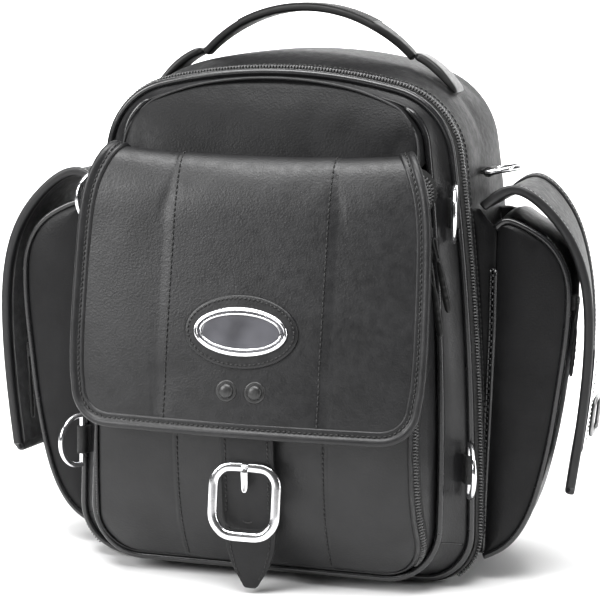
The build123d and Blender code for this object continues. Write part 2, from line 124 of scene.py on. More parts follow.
def even(path, step, closed=False):
    """The same line with points about step apart."""
    p = np.array(path, float)
    if closed:
        p = np.vstack([p, p[:1]])
    s = np.concatenate([[0.0], np.cumsum(np.linalg.norm(np.diff(p, axis=0), axis=1))])
    at = np.linspace(0, s[-1], max(2, round(s[-1] / step)) + 1)
    out = np.stack([np.interp(at, s, p[:, k]) for k in range(p.shape[1])], axis=1)
    return out[:-1] if closed else out


def even_pair(path, ups, step):
    """A line with points about step apart, and the unit normals that go with it."""
    both = even(np.hstack([path, ups]), step)
    return both[:, :3], unit(both[:, 3:])


def resample(line, count):
    """The same line with count points, spread evenly over its old ones."""
    at = np.linspace(0, len(line) - 1, count)
    return np.stack([np.interp(at, np.arange(len(line)), line[:, k]) for k in (0, 1)], axis=1)


def tangents(path, closed=False):
    if closed:
        return unit(np.roll(path, -1, axis=0) - np.roll(path, 1, axis=0))
    return unit(np.gradient(path, axis=0))


def left_of(line):
    """Unit vectors to the left of a line in the plane."""
    t = tangents(line)
    return np.stack([-t[:, 1], t[:, 0]], axis=1)


def arc3(p, q, r, count):
    """The circular arc from p through q to r, in the plane."""
    (ax, ay), (bx, by), (cx, cy) = p, q, r
    d = 2 * (ax * (by - cy) + bx * (cy - ay) + cx * (ay - by))
    a2, b2, c2 = ax * ax + ay * ay, bx * bx + by * by, cx * cx + cy * cy
    ux = (a2 * (by - cy) + b2 * (cy - ay) + c2 * (ay - by)) / d
    uy = (a2 * (cx - bx) + b2 * (ax - cx) + c2 * (bx - ax)) / d
    start = math.atan2(ay - uy, ax - ux)
    sweep_angle = (math.atan2(cy - uy, cx - ux) - start) % (2 * math.pi)
    if (math.atan2(by - uy, bx - ux) - start) % (2 * math.pi) > sweep_angle:
        sweep_angle -= 2 * math.pi
    angles = start + np.linspace(0, 1, count) * sweep_angle
    radius = math.hypot(ax - ux, ay - uy)
    return np.stack([ux + radius * np.cos(angles), uy + radius * np.sin(angles)], axis=1)


def round_corner(a, b, radius):
    """Cuts two lines that meet in a left turn back to an arc between them: returns a, the arc and b."""
    def inward(line):
        return line + radius * left_of(line)
    gap = np.linalg.norm(inward(a)[:, None] - inward(b)[None], axis=2)
    i, j = np.unravel_index(np.argmin(gap), gap.shape)
    centre = (inward(a)[i] + inward(b)[j]) / 2
    start = math.atan2(*(a[i] - centre)[::-1])
    turn = (math.atan2(*(b[j] - centre)[::-1]) - start) % (2 * math.pi)
    angles = start + np.linspace(0, 1, 60) * turn
    return a[:i + 1], centre + radius * np.stack([np.cos(angles), np.sin(angles)], axis=1), b[j:]


def arch(shape, inset=0.0):
    """A closed loop of (x, z): from the middle of the base to the right, up, and back down the left side."""
    base, top, low, shoulder, crown, swell, low_radius, top_radius = shape
    base, top, low, shoulder, crown = base - inset, top - inset, low + inset, shoulder - inset, crown - inset
    floor = np.stack([np.linspace(0, base, 400), np.full(400, low)], axis=1)
    side = arc3((base, low), ((base + top) / 2 + swell, (low + shoulder) / 2), (top, shoulder), 600)
    roof = arc3((top, shoulder), (0, crown), (-top, shoulder), 800)[:401]
    floor, low_arc, side = round_corner(floor, side, max(low_radius - inset, 4.0))
    side, top_arc, roof = round_corner(side, roof, max(top_radius - inset, 4.0))
    lines = (floor, low_arc, side, top_arc, roof)
    half = [resample(line, count + 1)[:-1] for line, count in zip(lines, ARCH_COUNTS)]
    half = np.vstack(half + [[(0.0, crown)]])
    return np.vstack([half, half[-2:0:-1] * (-1, 1)])


def upright(flat, y):
    """A loop or a grid of (x, z) stood up at y, which may be one number or one for each point."""
    return np.stack([flat[..., 0], np.broadcast_to(y, flat.shape[:-1]), flat[..., 1]], axis=-1)


def leaning(loop, forward):
    """A loop drawn on the front pocket's leaning plane, moved forward."""
    s, c = math.sin(POCKET_LEAN), math.cos(POCKET_LEAN)
    y = POCKET_BASE_Y + loop[:, 1] * s - forward * c
    return np.stack([loop[:, 0], y, loop[:, 1] * c + forward * s], axis=1)


def grid_normals(grid, wrap=False):
    """Unit normals of a grid of points. wrap is for a grid whose first index runs round a closed loop."""
    if wrap:
        du = np.roll(grid, -1, axis=0) - np.roll(grid, 1, axis=0)
    else:
        du = np.gradient(grid, axis=0)
    return unit(np.cross(du, np.gradient(grid, axis=1)))


def facing(grid, direction):
    """The grid's normals, all turned to the side that direction points to."""
    normals = grid_normals(grid)
    return normals if np.sum(normals @ np.array(direction, float)) > 0 else -normals


def outward(grid):
    """Normals of a grid that goes round the middle of the arch, pointing away from it."""
    normals = grid_normals(grid, True)
    away = grid - (0, 0, ARCH_MIDDLE_Z)
    return normals if np.sum(normals[..., 0] * away[..., 0] + normals[..., 2] * away[..., 2]) > 0 else -normals


class Piece:
    """Gathers vertices and faces in millimetres, then makes one smooth object of them."""

    def __init__(self):
        self.points, self.faces, self.slots, self.count = [], [], [], 0

    def add(self, points, faces, slot=0):
        points = np.asarray(points, float).reshape(-1, 3)
        self.points.append(points)
        self.faces += [tuple(int(i) + self.count for i in face) for face in faces]
        self.slots += [slot] * len(faces)
        self.count += len(points)

    def sheet(self, grid, normals, thickness, wrap=False, back_slot=0):
        """A closed slab: the grid is its outer face."""
        n, m = grid.shape[:2]
        self.add(np.stack([grid, grid - normals * thickness]), [])
        start = self.count - 2 * n * m
        at = lambda layer, i, j: start + layer * n * m + (i % n) * m + j
        rows = n if wrap else n - 1
        faces, slots = [], []
        for i in range(rows):
            for j in range(m - 1):
                faces.append((at(0, i, j), at(0, i + 1, j), at(0, i + 1, j + 1), at(0, i, j + 1)))
                faces.append((at(1, i, j), at(1, i, j + 1), at(1, i + 1, j + 1), at(1, i + 1, j)))
                slots += [0, back_slot]
            for j in (0, m - 1):
                faces.append((at(0, i, j), at(0, i + 1, j), at(1, i + 1, j), at(1, i, j)))
                slots.append(0)
        if not wrap:
            for i in (0, n - 1):
                for j in range(m - 1):
                    faces.append((at(0, i, j), at(0, i, j + 1), at(1, i, j + 1), at(1, i, j)))
                    slots.append(0)
        self.faces += faces
        self.slots += slots

    def sweep(self, path, up, section, closed=False, slot=0):
        """A section of (side, up) offsets moved along a path. The section may change from point to point."""
        path = np.array(path, float)
        along = tangents(path, closed)
        side = unit(np.cross(along, np.broadcast_to(np.array(up, float), path.shape)))
        rise = unit(np.cross(side, along))
        section = np.broadcast_to(np.array(section, float), (len(path),) + np.array(section).shape[-2:])
        points = path[:, None] + side[:, None] * section[..., :1] + rise[:, None] * section[..., 1:]
        n, k = points.shape[:2]
        faces = []
        for i in range(n if closed else n - 1):
            for j in range(k):
                a, b = i * k, ((i + 1) % n) * k
                faces.append((a + j, b + j, b + (j + 1) % k, a + (j + 1) % k))
        points = points.reshape(-1, 3)
        if not closed:
            points = np.vstack([points, points[:k].mean(0), points[-k:].mean(0)])
            for j in range(k):
                faces.append((n * k, j, (j + 1) % k))
                faces.append((n * k + 1, (n - 1) * k + (j + 1) % k, (n - 1) * k + j))
        self.add(points, faces, slot)

    def copies(self, points, faces, centres, axes, slot=0):
        """One small shape at many places. points are in (x, y, z) of each place's own three axes."""
        placed = centres[:, None] + np.einsum("pk,nkc->npc", np.array(points, float), axes)
        k = len(points)
        every = [tuple(i * k + j for j in face) for i in range(len(centres)) for face in faces]
        self.add(placed, every, slot)

    def make(self, name, body, materials, slot, stands_for=(), level=0):
        mesh = bpy.data.meshes.new(name)
        mesh.from_pydata((np.vstack(self.points) * MM).tolist(), [], self.faces)
        mesh.validate()
        for material in materials if isinstance(materials, list) else [materials]:
            mesh.materials.append(material)
        if len(mesh.polygons) == len(self.slots):
            mesh.polygons.foreach_set("material_index", self.slots)
        mesh.polygons.foreach_set("use_smooth", [True] * len(mesh.polygons))
        work = bmesh.new()
        work.from_mesh(mesh)
        bmesh.ops.recalc_face_normals(work, faces=work.faces)
        work.to_mesh(mesh)
        work.free()
        obj = bpy.data.objects.new(name, mesh)
        bpy.context.scene.collection.objects.link(obj)
        if level:
            obj.modifiers.new("smooth", "SUBSURF").levels = level
            evaluated = obj.evaluated_get(bpy.context.evaluated_depsgraph_get())
            obj.data = bpy.data.meshes.new_from_object(evaluated)
            obj.modifiers.clear()
        if body:
            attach(obj, body)
        if stands_for:
            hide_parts(*stands_for)
        return obj


def slab(name, body, grid, normals, thickness, materials, slot, stands_for=(), level=1, wrap=False):
    """One sheet as a piece of its own. A second material covers its back."""
    piece = Piece()
    piece.sheet(grid, normals, thickness, wrap, back_slot=len(materials) - 1)
    return piece.make(name, body, materials, slot, stands_for, level)


def tube_faces(count, ring):
    """The faces of a tube of count rings of points, with both ends closed."""
    faces = [(i * ring + q, i * ring + (q + 1) % ring, (i + 1) * ring + (q + 1) % ring, (i + 1) * ring + q)
             for i in range(count - 1) for q in range(ring)]
    return faces + [tuple(range(ring)), tuple(range((count - 1) * ring, count * ring))]


def circle(radius, count=10, flat=1.0):
    angles = np.arange(count) * 2 * math.pi / count
    return np.stack([radius * np.cos(angles), radius * flat * np.sin(angles)], axis=1)


def rounded_box(half_width, low, high, bevel):
    """A section with rounded corners, from low to high."""
    out = []
    for sx, z, start in ((1, high, 0), (-1, high, 90), (-1, low, 180), (1, low, 270)):
        for turn in (0, 30, 60, 90):
            a = math.radians(start + turn)
            cx = sx * (half_width - bevel)
            cz = z - bevel if z == high else z + bevel
            out.append((cx + bevel * math.cos(a), cz + bevel * math.sin(a)))
    return np.array(out)


# A stitch: share of its length, height and thickness, both in shares of the thread's radius
STITCH_SHAPE = ((0.10, -0.7, 0.6), (0.22, 0.15, 1.0), (0.5, 0.4, 1.1), (0.78, 0.15, 1.0), (0.90, -0.7, 0.6))


def stitches(piece, path, up, pitch=3.7, thread=0.52):
    """A row of thread stitches on a surface: each is a short bent strand whose ends dive into it."""
    path = np.array(path, float)
    up = unit(np.broadcast_to(np.array(up, float), path.shape))
    p, n = even_pair(path, up, pitch)
    a, b = p[:-1], p[1:]
    along = unit(b - a)
    rise = unit(n[:-1] - along * np.sum(n[:-1] * along, axis=1, keepdims=True))
    side = np.cross(along, rise)
    length = float(np.mean(np.linalg.norm(b - a, axis=1)))
    ring, points = 6, []
    for at, height, size in STITCH_SHAPE:
        for q in range(ring):
            angle = 2 * math.pi * q / ring
            points.append((at * length, thread * size * math.cos(angle), thread * (height + size * math.sin(angle))))
    faces = tube_faces(len(STITCH_SHAPE), ring)
    piece.copies(points, faces, a, np.stack([along, side, rise], axis=1))


# A zipper tooth: share of the way out from the middle of the zipper, and height in millimetres
TOOTH_SHAPE = ((1.0, -0.5), (0.92, 0.6), (0.5, 1.15), (0.0, 1.05), (-0.22, 0.5))


def coil(piece, path, up, half_width, pitch, wire, rows=(-1, 1), slot=1):
    """Zipper teeth: ribs that arch over from each tape and mesh at the middle."""
    path = np.array(path, float)
    up = unit(np.broadcast_to(np.array(up, float), path.shape))
    p, n = even_pair(path, up, pitch)
    along = tangents(p)
    side = unit(np.cross(along, n))
    rise = unit(np.cross(side, along))
    ring = 5
    faces = tube_faces(len(TOOTH_SHAPE), ring)
    for row in rows:
        points = []
        for across, height in TOOTH_SHAPE:
            for q in range(ring):
                angle = 2 * math.pi * q / ring
                points.append((wire * math.cos(angle), row * across * half_width,
                               height + wire * math.sin(angle)))
        shift = along * (pitch * 0.25 * row)
        piece.copies(points, faces, p + shift, np.stack([along, side, rise], axis=1), slot)


def coons(bottom, top, left, right):
    """A grid that fills four edge lines. bottom and top run left to right, left and right run upwards."""
    u = (top[:, :1] - top[0, 0]) / (top[-1, 0] - top[0, 0])
    u, v = u[:, None], np.linspace(0, 1, len(left))[None, :, None]
    ruled = (1 - v) * bottom[:, None] + v * top[:, None]
    sides = (1 - u) * left[None] + u * right[None]
    ends = ((1 - u) * (1 - v) * bottom[0] + u * (1 - v) * bottom[-1]
            + (1 - u) * v * top[0] + u * v * top[-1])
    return ruled + sides - ends


def smoothstep(x, low, high):
    t = np.clip((x - low) / (high - low), 0, 1)
    return t * t * (3 - 2 * t)


# ---- materials -----------------------------------------------------------------------------------------
class Finish:
    """A procedural material: its textures lie in the piece's own space, so their scale is real."""

    def __init__(self, name, **values):
        self.material = bpy.data.materials.new(name)
        self.material.use_nodes = True
        self.tree = self.material.node_tree
        self.shader = self.tree.nodes["Principled BSDF"]
        self.place = self.tree.nodes.new("ShaderNodeTexCoord").outputs["Object"]
        self.normal = None
        for key, value in values.items():
            self.shader.inputs[key.replace("_", " ")].default_value = value

    def node(self, kind, inputs=(), **settings):
        made = self.tree.nodes.new("ShaderNode" + kind)
        for key, value in settings.items():
            setattr(made, key, value)
        for key, value in dict(inputs).items():
            if isinstance(value, bpy.types.NodeSocket):
                self.tree.links.new(value, made.inputs[key])
            else:
                made.inputs[key].default_value = value
        return made

    def stretched(self, scale):
        return self.node("Mapping", {"Vector": self.place, "Scale": scale}).outputs[0]

    def noise(self, size, detail=3.0, stretch=None):
        """Noise whose features are about size millimetres across."""
        place = self.stretched(stretch) if stretch else self.place
        return self.node("TexNoise", {"Vector": place, "Scale": 1000 / size, "Detail": detail}).outputs["Fac"]

    def cells(self, size, feature="F1"):
        inputs = {"Vector": self.place, "Scale": 1000 / size}
        return self.node("TexVoronoi", inputs, feature=feature).outputs["Distance"]

    def ramp(self, factor, *stops):
        made = self.node("ValToRGB", {"Fac": factor})
        while len(made.color_ramp.elements) < len(stops):
            made.color_ramp.elements.new(0.5)
        for element, (position, value) in zip(made.color_ramp.elements, stops):
            colour = value if isinstance(value, tuple) else (value, value, value)
            element.position, element.color = position, (*colour, 1.0)
        return made.outputs["Color"]

    def colour(self, factor, *stops):
        self.tree.links.new(self.ramp(factor, *stops), self.shader.inputs["Base Color"])
        return self

    def rough(self, factor, *stops):
        self.tree.links.new(self.ramp(factor, *stops), self.shader.inputs["Roughness"])
        return self

    def bump(self, height, strength, depth):
        """Adds relief, depth millimetres deep, on top of what is there."""
        inputs = {"Height": height, "Strength": strength, "Distance": depth * MM}
        if self.normal is not None:
            inputs["Normal"] = self.normal
        self.normal = self.node("Bump", inputs).outputs[0]
        self.tree.links.new(self.normal, self.shader.inputs["Normal"])
        return self


def vinyl(name, dark=0.0065, light=0.0115, low=0.34, high=0.46, grain=1.0, gloss=0.36):
    """Semi-matte grained vinyl: pebbles about a millimetre across with creases between, softly uneven."""
    f = Finish(name, Specular_IOR_Level=gloss)
    pebbles = f.cells(1.35, "SMOOTH_F1")
    f.colour(f.noise(26, 5), (0.32, (dark, dark, dark * 1.06)), (0.68, (light, light, light * 1.06)))
    f.rough(f.noise(5, 6), (0.3, low), (0.7, high))
    f.bump(f.noise(45, 3), 0.25 * grain, 1.6)
    f.bump(pebbles, 0.50 * grain, 0.22)
    f.bump(f.noise(0.7, 4), 0.40 * grain, 0.12)
    return f.material


# Each finish's name, its shader's own values, its colours and its roughness as (size of the noise, least, most),
# and its reliefs as (kind of texture, the texture's own values, strength, depth)
PLAIN_FINISHES = {
    "thread": ("thread", {"Specular_IOR_Level": 0.5}, (3, 0.003, 0.007), (2, 0.42, 0.6),
               [("noise", (0.35, 2, (1, 1, 3)), 0.6, 0.1)]),
    "tape": ("zipper_tape", {}, (12, 0.004, 0.008), (4, 0.7, 0.86), [("cells", (0.62,), 0.7, 0.16)]),
    # The coil is black nylon. Its grey colour, lighter than the tape, is a painted highlight that stands in for
    # glints on the teeth.
    "coil": ("nylon_coil_painted_highlight", {"Specular_IOR_Level": 0.55}, (4, 0.045, 0.075), (3, 0.18, 0.30),
             [("noise", (0.6,), 0.2, 0.06)]),
    "lining": ("woven_lining", {}, (18, (0.007, 0.007, 0.008), (0.014, 0.014, 0.016)), (6, 0.55, 0.75),
               [("cells", (0.8,), 0.55, 0.18)]),
    "webbing": ("nylon_webbing", {}, (9, 0.007, 0.014), (3, 0.5, 0.7),
                [("cells", (1.1,), 0.8, 0.3), ("noise", (0.5,), 0.4, 0.1)]),
    "steel": ("satin_steel", {"Metallic": 1.0}, (4, 0.22, 0.32), (1.6, 0.30, 0.42), [("noise", (1.4,), 0.15, 0.08)]),
    "black_metal": ("black_oxide_metal", {"Metallic": 0.85}, (3, 0.018, 0.04), (1.6, 0.26, 0.42),
                    [("noise", (1.4,), 0.15, 0.08)]),
    "dome": ("satin_black_cap", {"Specular_IOR_Level": 0.5}, (6, 0.010, 0.02), (3, 0.30, 0.42),
             [("noise", (0.7,), 0.25, 0.05)]),
    "rubber": ("moulded_rubber", {"Specular_IOR_Level": 0.22}, (10, 0.006, 0.011), (4, 0.42, 0.58),
               [("noise", (0.8, 4), 0.35, 0.12)]),
    "gloss_rubber": ("glossy_rubber", {"Specular_IOR_Level": 0.28}, (7, 0.007, 0.012), (3, 0.30, 0.42),
                     [("noise", (1.2,), 0.15, 0.08)]),
    "board": ("sheet_board", {}, (20, 0.03, 0.05), (4, 0.5, 0.65), [("noise", (0.9,), 0.3, 0.1)])}


def make_materials():
    m = {"vinyl": vinyl("vinyl"), "binding": vinyl("binding_vinyl", 0.0065, 0.0115, 0.34, 0.46, 0.8),
         # The same black vinyl, made darker and duller for the main gusset, roof and side lids: the darker colour is
         # painted shade.
         "body": vinyl("body_vinyl_painted_shade", 0.0055, 0.0095, 0.44, 0.56, 1.0, 0.10),
         # The same vinyl made darker for the upper panel: the darker colour is painted shade.
         "upper": vinyl("upper_panel_vinyl_painted_shade", 0.0045, 0.0080, 0.34, 0.44, 1.0, 0.13),
         # The same vinyl made darker for the side pockets: the darker colour is painted shade, as cast by the side
         # lids above them.
         "pocket": vinyl("side_pocket_vinyl_painted_shade", 0.0045, 0.0085, 0.36, 0.48, 1.0, 0.17),
         "piping": vinyl("piping_vinyl", 0.008, 0.012, 0.20, 0.28, 0.35, 0.55),
         "strap": vinyl("strap_vinyl", 0.0065, 0.0105, 0.42, 0.55, 0.9, 0.26)}
    for key, (name, values, colours, rough, reliefs) in PLAIN_FINISHES.items():
        f = Finish(name, **values)
        f.colour(f.noise(colours[0]), (0.3, colours[1]), (0.7, colours[2]))
        f.rough(f.noise(rough[0]), (0.3, rough[1]), (0.7, rough[2]))
        for kind, texture, strength, depth in reliefs:
            f.bump((f.cells if kind == "cells" else f.noise)(*texture), strength, depth)
        m[key] = f.material
    f = Finish("polished_chrome", Metallic=1.0)
    f.colour(f.noise(14), (0.3, (0.80, 0.80, 0.82)), (0.7, (0.90, 0.90, 0.91)))
    f.rough(f.noise(2.2, 6, (1, 1, 4)), (0.35, 0.13), (0.75, 0.22))
    m["chrome"] = f.bump(f.noise(9, 2), 0.10, 0.12).material
    f = Finish("enamel_field", Coat_Weight=0.6, Coat_Roughness=0.05)
    f.colour(f.noise(30, 2), (0.35, (0.045, 0.045, 0.05)), (0.65, (0.09, 0.09, 0.10)))
    m["enamel"] = f.rough(f.noise(5), (0.3, 0.16), (0.7, 0.26)).bump(f.noise(12), 0.1, 0.2).material
    return m


# ---- padded panels by cloth simulation -------------------------------------------------------------------
class Pad:
    """A panel of points, held where pins is True, that the simulation swells by up to cap millimetres. spare is
    the share by which its cloth is larger than the panel."""

    def __init__(self, grid, normals, pins, cap, pressure, spare, wrap=False):
        self.grid, self.normals, self.pins, self.cap = grid, normals, pins, cap
        self.pressure, self.spare, self.wrap = pressure, spare, wrap

    def mesh(self):
        n, m = self.grid.shape[:2]
        faces = []
        for i in range(n if self.wrap else n - 1):
            for j in range(m - 1):
                a, b = i * m + j, ((i + 1) % n) * m + j
                faces.append((a, b, b + 1, a + 1))
        mesh = bpy.data.meshes.new("pad")
        mesh.from_pydata((self.grid.reshape(-1, 3) * MM).tolist(), [], faces)
        k = len(faces) // 2
        if mesh.polygons[k].normal.dot(Vector(self.normals.reshape(-1, 3)[faces[k][0]])) < 0:
            mesh.flip_normals()
        return mesh

    def start(self):
        self.obj = bpy.data.objects.new("pad", self.mesh())
        bpy.context.scene.collection.objects.link(self.obj)
        held = self.obj.vertex_groups.new(name="held")
        held.add([int(i) for i in np.flatnonzero(self.pins.reshape(-1))], 1.0, "REPLACE")
        cloth = self.obj.modifiers.new("cloth", "CLOTH")
        s = cloth.settings
        s.quality, s.mass, s.air_damping = 6, 0.12, 2.0
        s.tension_stiffness, s.compression_stiffness, s.shear_stiffness, s.bending_stiffness = 20, 20, 8, 0.8
        s.use_pressure, s.uniform_pressure_force = True, self.pressure
        s.vertex_group_mass, s.shrink_min = "held", -self.spare
        s.effector_weights.gravity = 0
        cloth.point_cache.frame_start, cloth.point_cache.frame_end = 1, SIM_FRAMES

    def finish(self):
        evaluated = self.obj.evaluated_get(bpy.context.evaluated_depsgraph_get())
        moved = np.zeros(len(evaluated.data.vertices) * 3)
        evaluated.data.vertices.foreach_get("co", moved)
        shift = moved.reshape(self.grid.shape) / MM - self.grid
        held = np.where(self.pins, 0.0, 1.0)[..., None]
        for _ in range(SMOOTHING):
            ahead, behind = np.roll(shift, -1, axis=0), np.roll(shift, 1, axis=0)
            if not self.wrap:
                ahead[-1], behind[0] = shift[-1], shift[0]
            up = np.concatenate([shift[:, 1:], shift[:, -1:]], axis=1)
            down = np.concatenate([shift[:, :1], shift[:, :-1]], axis=1)
            shift = (shift * 0.4 + (ahead + behind + up + down) * 0.15) * held
        size = np.linalg.norm(shift, axis=-1, keepdims=True)
        self.grid = self.grid + shift * (self.cap * np.tanh(size / self.cap) / np.maximum(size, 1e-6))
        bpy.data.objects.remove(self.obj)


def rim_pins(grid, across=1, top=1):
    """True for the points that are sewn down: the grid's first and last columns and rows."""
    pins = np.zeros(grid.shape[:2], bool)
    pins[:across], pins[-across:], pins[:, :1], pins[:, -top:] = True, True, True, True
    return pins


SIM_FRAMES = 20
SMOOTHING = 8          # passes that take the finest ripples out of the simulated swell


def inflate(pads):
    """Runs the cloth of all the panels together, and keeps their final shapes."""
    for pad in pads:
        pad.start()
    for step in range(1, SIM_FRAMES + 1):
        bpy.context.scene.frame_set(step)
    for pad in pads:
        pad.finish()
    bpy.context.scene.frame_set(1)


# ---- the front pocket's surface --------------------------------------------------------------------------
PROFILE = curve(POCKET_PROFILE, 400)


def pocket_y(z):
    """How far forward the pocket's front surface lies at a height."""
    return np.interp(z, PROFILE[:, 1], PROFILE[:, 0])


class Pocket:
    """The front pocket: its rear loop beside the piping, its front edge loop, and the wall between them."""

    def __init__(self):
        self.rear = leaning(arch(POCKET_ARCH, 3.6), 0.1)
        tip = leaning(arch(POCKET_FRONT_ARCH), POCKET_DEPTH)
        low, high = np.zeros(len(tip)), np.ones(len(tip))
        for _ in range(30):
            middle = (low + high) / 2
            at = self.rear + (tip - self.rear) * middle[:, None]
            behind = at[:, 1] > pocket_y(at[:, 2])
            low, high = np.where(behind, middle, low), np.where(behind, high, middle)
        self.edge = self.rear + (tip - self.rear) * low[:, None]
        self.depth = np.linalg.norm(self.rear - self.edge, axis=1)
        self.half = len(self.edge) // 2

    def side_index(self, z):
        """The first point of the right side that is above a height."""
        side = self.edge[ARCH_COUNTS[0]:self.half - ARCH_COUNTS[4], 2]
        return ARCH_COUNTS[0] + int(np.searchsorted(side, z))

    def wall(self, index, backs):
        """Points on the side wall: index along the loop, backs millimetres behind the edge."""
        edge, rear = self.edge[index], self.rear[index]
        along = unit(rear - edge)
        depth = np.minimum(np.array(backs, float)[None, :], self.depth[index][:, None])
        return edge[:, None] + along[:, None] * depth[..., None]


def half_sides(loop, top_z=None):
    """Cuts the right half of a loop of (x, z) into its base, side and roof lines, each from the bottom up
    or from the middle out. Above top_z it is left out, and the roof is then level."""
    m = len(loop) // 2
    half = loop[:m + 1]
    low = ARCH_COUNTS[0] + ARCH_COUNTS[1] // 2
    high = m - ARCH_COUNTS[4] - ARCH_COUNTS[3] // 2
    if top_z is not None:
        x = np.interp(top_z, half[low:high, 1], half[low:high, 0])
        side = half[low:high][half[low:high, 1] < top_z - 1]
        return half[:low + 1], np.vstack([side, [(x, top_z)]]), np.array([(0, top_z), (x, top_z)])
    return half[:low + 1], half[low:high + 1], half[high:][::-1]


def fill_loop(base, side, roof, fixed, spread, rows):
    """A grid of (x, z) between a base, two mirrored sides and a roof. Its columns lie at the fixed values of x,
    from the middle out, and then spread out to the sides."""
    share = np.array(spread)

    def line(edge):
        out = fixed[-1] + (edge[-1, 0] - fixed[-1]) * share
        right = np.concatenate([fixed, out])
        x = np.concatenate([-right[::-1], right[1:]])
        return np.stack([x, np.interp(np.abs(x), edge[:, 0], edge[:, 1])], axis=1)
    right = resample(even(side, 1.0), rows)
    return coons(line(base), line(roof), right * (-1, 1), right)


OVERLAP = 2.5          # how far the middle panel reaches past its topstitched seam
LAYER = 0.7            # how much lower the outer panels lie there


def seam_columns(seam):
    """Column places from the middle to a topstitched seam, with close ones where the upper layer ends."""
    inner = np.linspace(0, seam - 2.2, round(seam / 4.0))
    steps = (-1.0, 0.0, 1.0, OVERLAP - 0.5, OVERLAP, OVERLAP + 0.5, OVERLAP + 2.0)
    return np.concatenate([inner, [seam + step for step in steps]])


def lower_side_layers(grid, normals, seam):
    """The middle panel lies over the side ones: outside its edge the surface is lower."""
    x = np.abs(grid[..., 0])
    edge = seam + OVERLAP
    outside = smoothstep(x, edge - 0.35, edge + 0.35) * (1 - 0.65 * smoothstep(x, edge + 1, edge + 36))
    groove = np.exp(-((x - seam) / 1.0) ** 2)
    return grid - normals * (LAYER * outside + 0.35 * groove)[..., None]


def column_line(grid, normals, x):
    """The line on a grid where it crosses a value of x, with its normals."""
    points, ups = [], []
    for j in range(grid.shape[1]):
        row = grid[:, j]
        order = np.argsort(row[:, 0])
        points.append([np.interp(x, row[order, 0], row[order, k]) for k in range(3)])
        ups.append([np.interp(x, row[order, 0], normals[order, j, k]) for k in range(3)])
    return np.array(points), unit(np.array(ups))


def surface_point(grid, normals, x, z):
    """The point of a front-facing grid nearest to (x, z), and its normal."""
    gap = (grid[..., 0] - x) ** 2 + (grid[..., 2] - z) ** 2
    near = np.argsort(gap.reshape(-1))[:4]
    weight = 1 / (gap.reshape(-1)[near] + 0.5)
    weight = weight / weight.sum()
    point = (grid.reshape(-1, 3)[near] * weight[:, None]).sum(0)
    normal = unit((normals.reshape(-1, 3)[near] * weight[:, None]).sum(0))
    return np.array([x, point[1] - ((x - point[0]) * normal[0] + (z - point[2]) * normal[2]) / normal[1], z]), normal


# ---- main compartment ------------------------------------------------------------------------------------
def gusset_grid():
    """The sides, roof and base of the main compartment: it rises behind its mouth."""
    front, middle = arch(BODY_ARCH), arch(BODY_ARCH_MIDDLE)
    lip = [(MOUTH_Y + 2.5, 2.6), (MOUTH_Y + 0.5, 1.8), (MOUTH_Y, 0.9), (MOUTH_Y + 0.6, 0.15), (MOUTH_Y + 2.0, 0.0)]
    rest = [(y, 0.0) for y in np.concatenate([np.arange(MOUTH_Y + 4.5, REAR_Y - 3, 4.0), [REAR_Y - 2.5, REAR_Y]])]
    loops = []
    for y, inset in lip + rest:
        share = smoothstep(y, MOUTH_Y, MOUTH_Y + 42)
        loop = front * (1 - share) + middle * share
        loop = loop - unit(loop - (0, ARCH_MIDDLE_Z)) * inset
        loops.append(upright(loop, y))
    return np.stack(loops, axis=1)


def main_compartment(m, pads):
    grid = gusset_grid()
    normals = outward(grid)
    x, y, z = np.abs(grid[..., 0]), grid[..., 1], grid[..., 2]
    pins = (z < 16) | (y < MOUTH_Y + 6) | (y > REAR_Y - 1)
    pins |= (x > 120) & (z < 275) & (y > -52) & (y < 58)
    pad = Pad(grid, normals, pins, 4.2, 3.0, 0.010, wrap=True)
    pads.append(pad)

    def finish():
        slab("main_gusset_cover", "bag_body", pad.grid, outward(pad.grid), 2.6, [m["body"], m["lining"]], "vinyl",
             ["main_gusset"], wrap=True)
        thread = Piece()
        line, ups = pad.grid[:, 6], outward(pad.grid)[:, 6]
        keep = line[:, 2] > 4
        start = int(np.argmin(keep)) if not keep.all() else 0
        line, ups, keep = (np.roll(a, -start, axis=0) for a in (line, ups, keep))
        stitches(thread, line[keep], ups[keep])
        thread.make("main_gusset_stitches", "bag_body", m["thread"], "strap")
    return finish


def main_zipper(m):
    """The tape and teeth of the long zipper: one half is on the body and the other on the door."""
    loop = arch(BODY_ARCH, 0.2)
    up = unit(upright(loop - (0, ARCH_MIDDLE_Z), 0.0))
    path = upright(loop, ZIPPER_Y)
    sides = np.flatnonzero(loop[:, 1] > 6.0)
    for body, y0, y1, row, node in (("bag_body", ZIPPER_Y + 0.15, MOUTH_Y - 0.2, 1, "main_zipper"),
                                    ("front_door", DOOR_Y + 0.4, ZIPPER_Y - 0.15, -1, "door_zipper_tape")):
        ys = np.linspace(y0, y1, 5)
        inset = 0.3 + 1.5 * ((ys - ZIPPER_Y) / 8) ** 2
        grid = np.stack([upright(loop, y) - up * d for y, d in zip(ys, inset)], axis=1)
        tape = Piece()
        tape.sheet(grid, outward(grid), 0.9, wrap=True)
        coil(tape, (path + up * 0.5)[sides], up[sides], 3.5, 2.2, 0.60, rows=(-row,))
        tape.make(node + "_teeth", body, [m["tape"], m["coil"]], "zipper", [node])


def lining_of_door(m):
    """The inside of the front door: a padded lining that lies lower at its edge."""
    flat = fill_loop(*half_sides(arch(FRAME_ARCH, 2.0)), np.linspace(0, 100, 21), np.linspace(0.1, 1, 8), 60)
    edge = np.minimum.reduce([flat[..., 1] - 5, 355 - flat[..., 1], 146 - np.abs(flat[..., 0])])
    grid = upright(flat, DOOR_Y + 2.4 + 0.8 * smoothstep(edge, 2, 26))
    slab("door_lining", "front_door", grid, facing(grid, (0, 1, 0)), 2.0, [m["lining"]], "lining", ["door_panel"], 0)


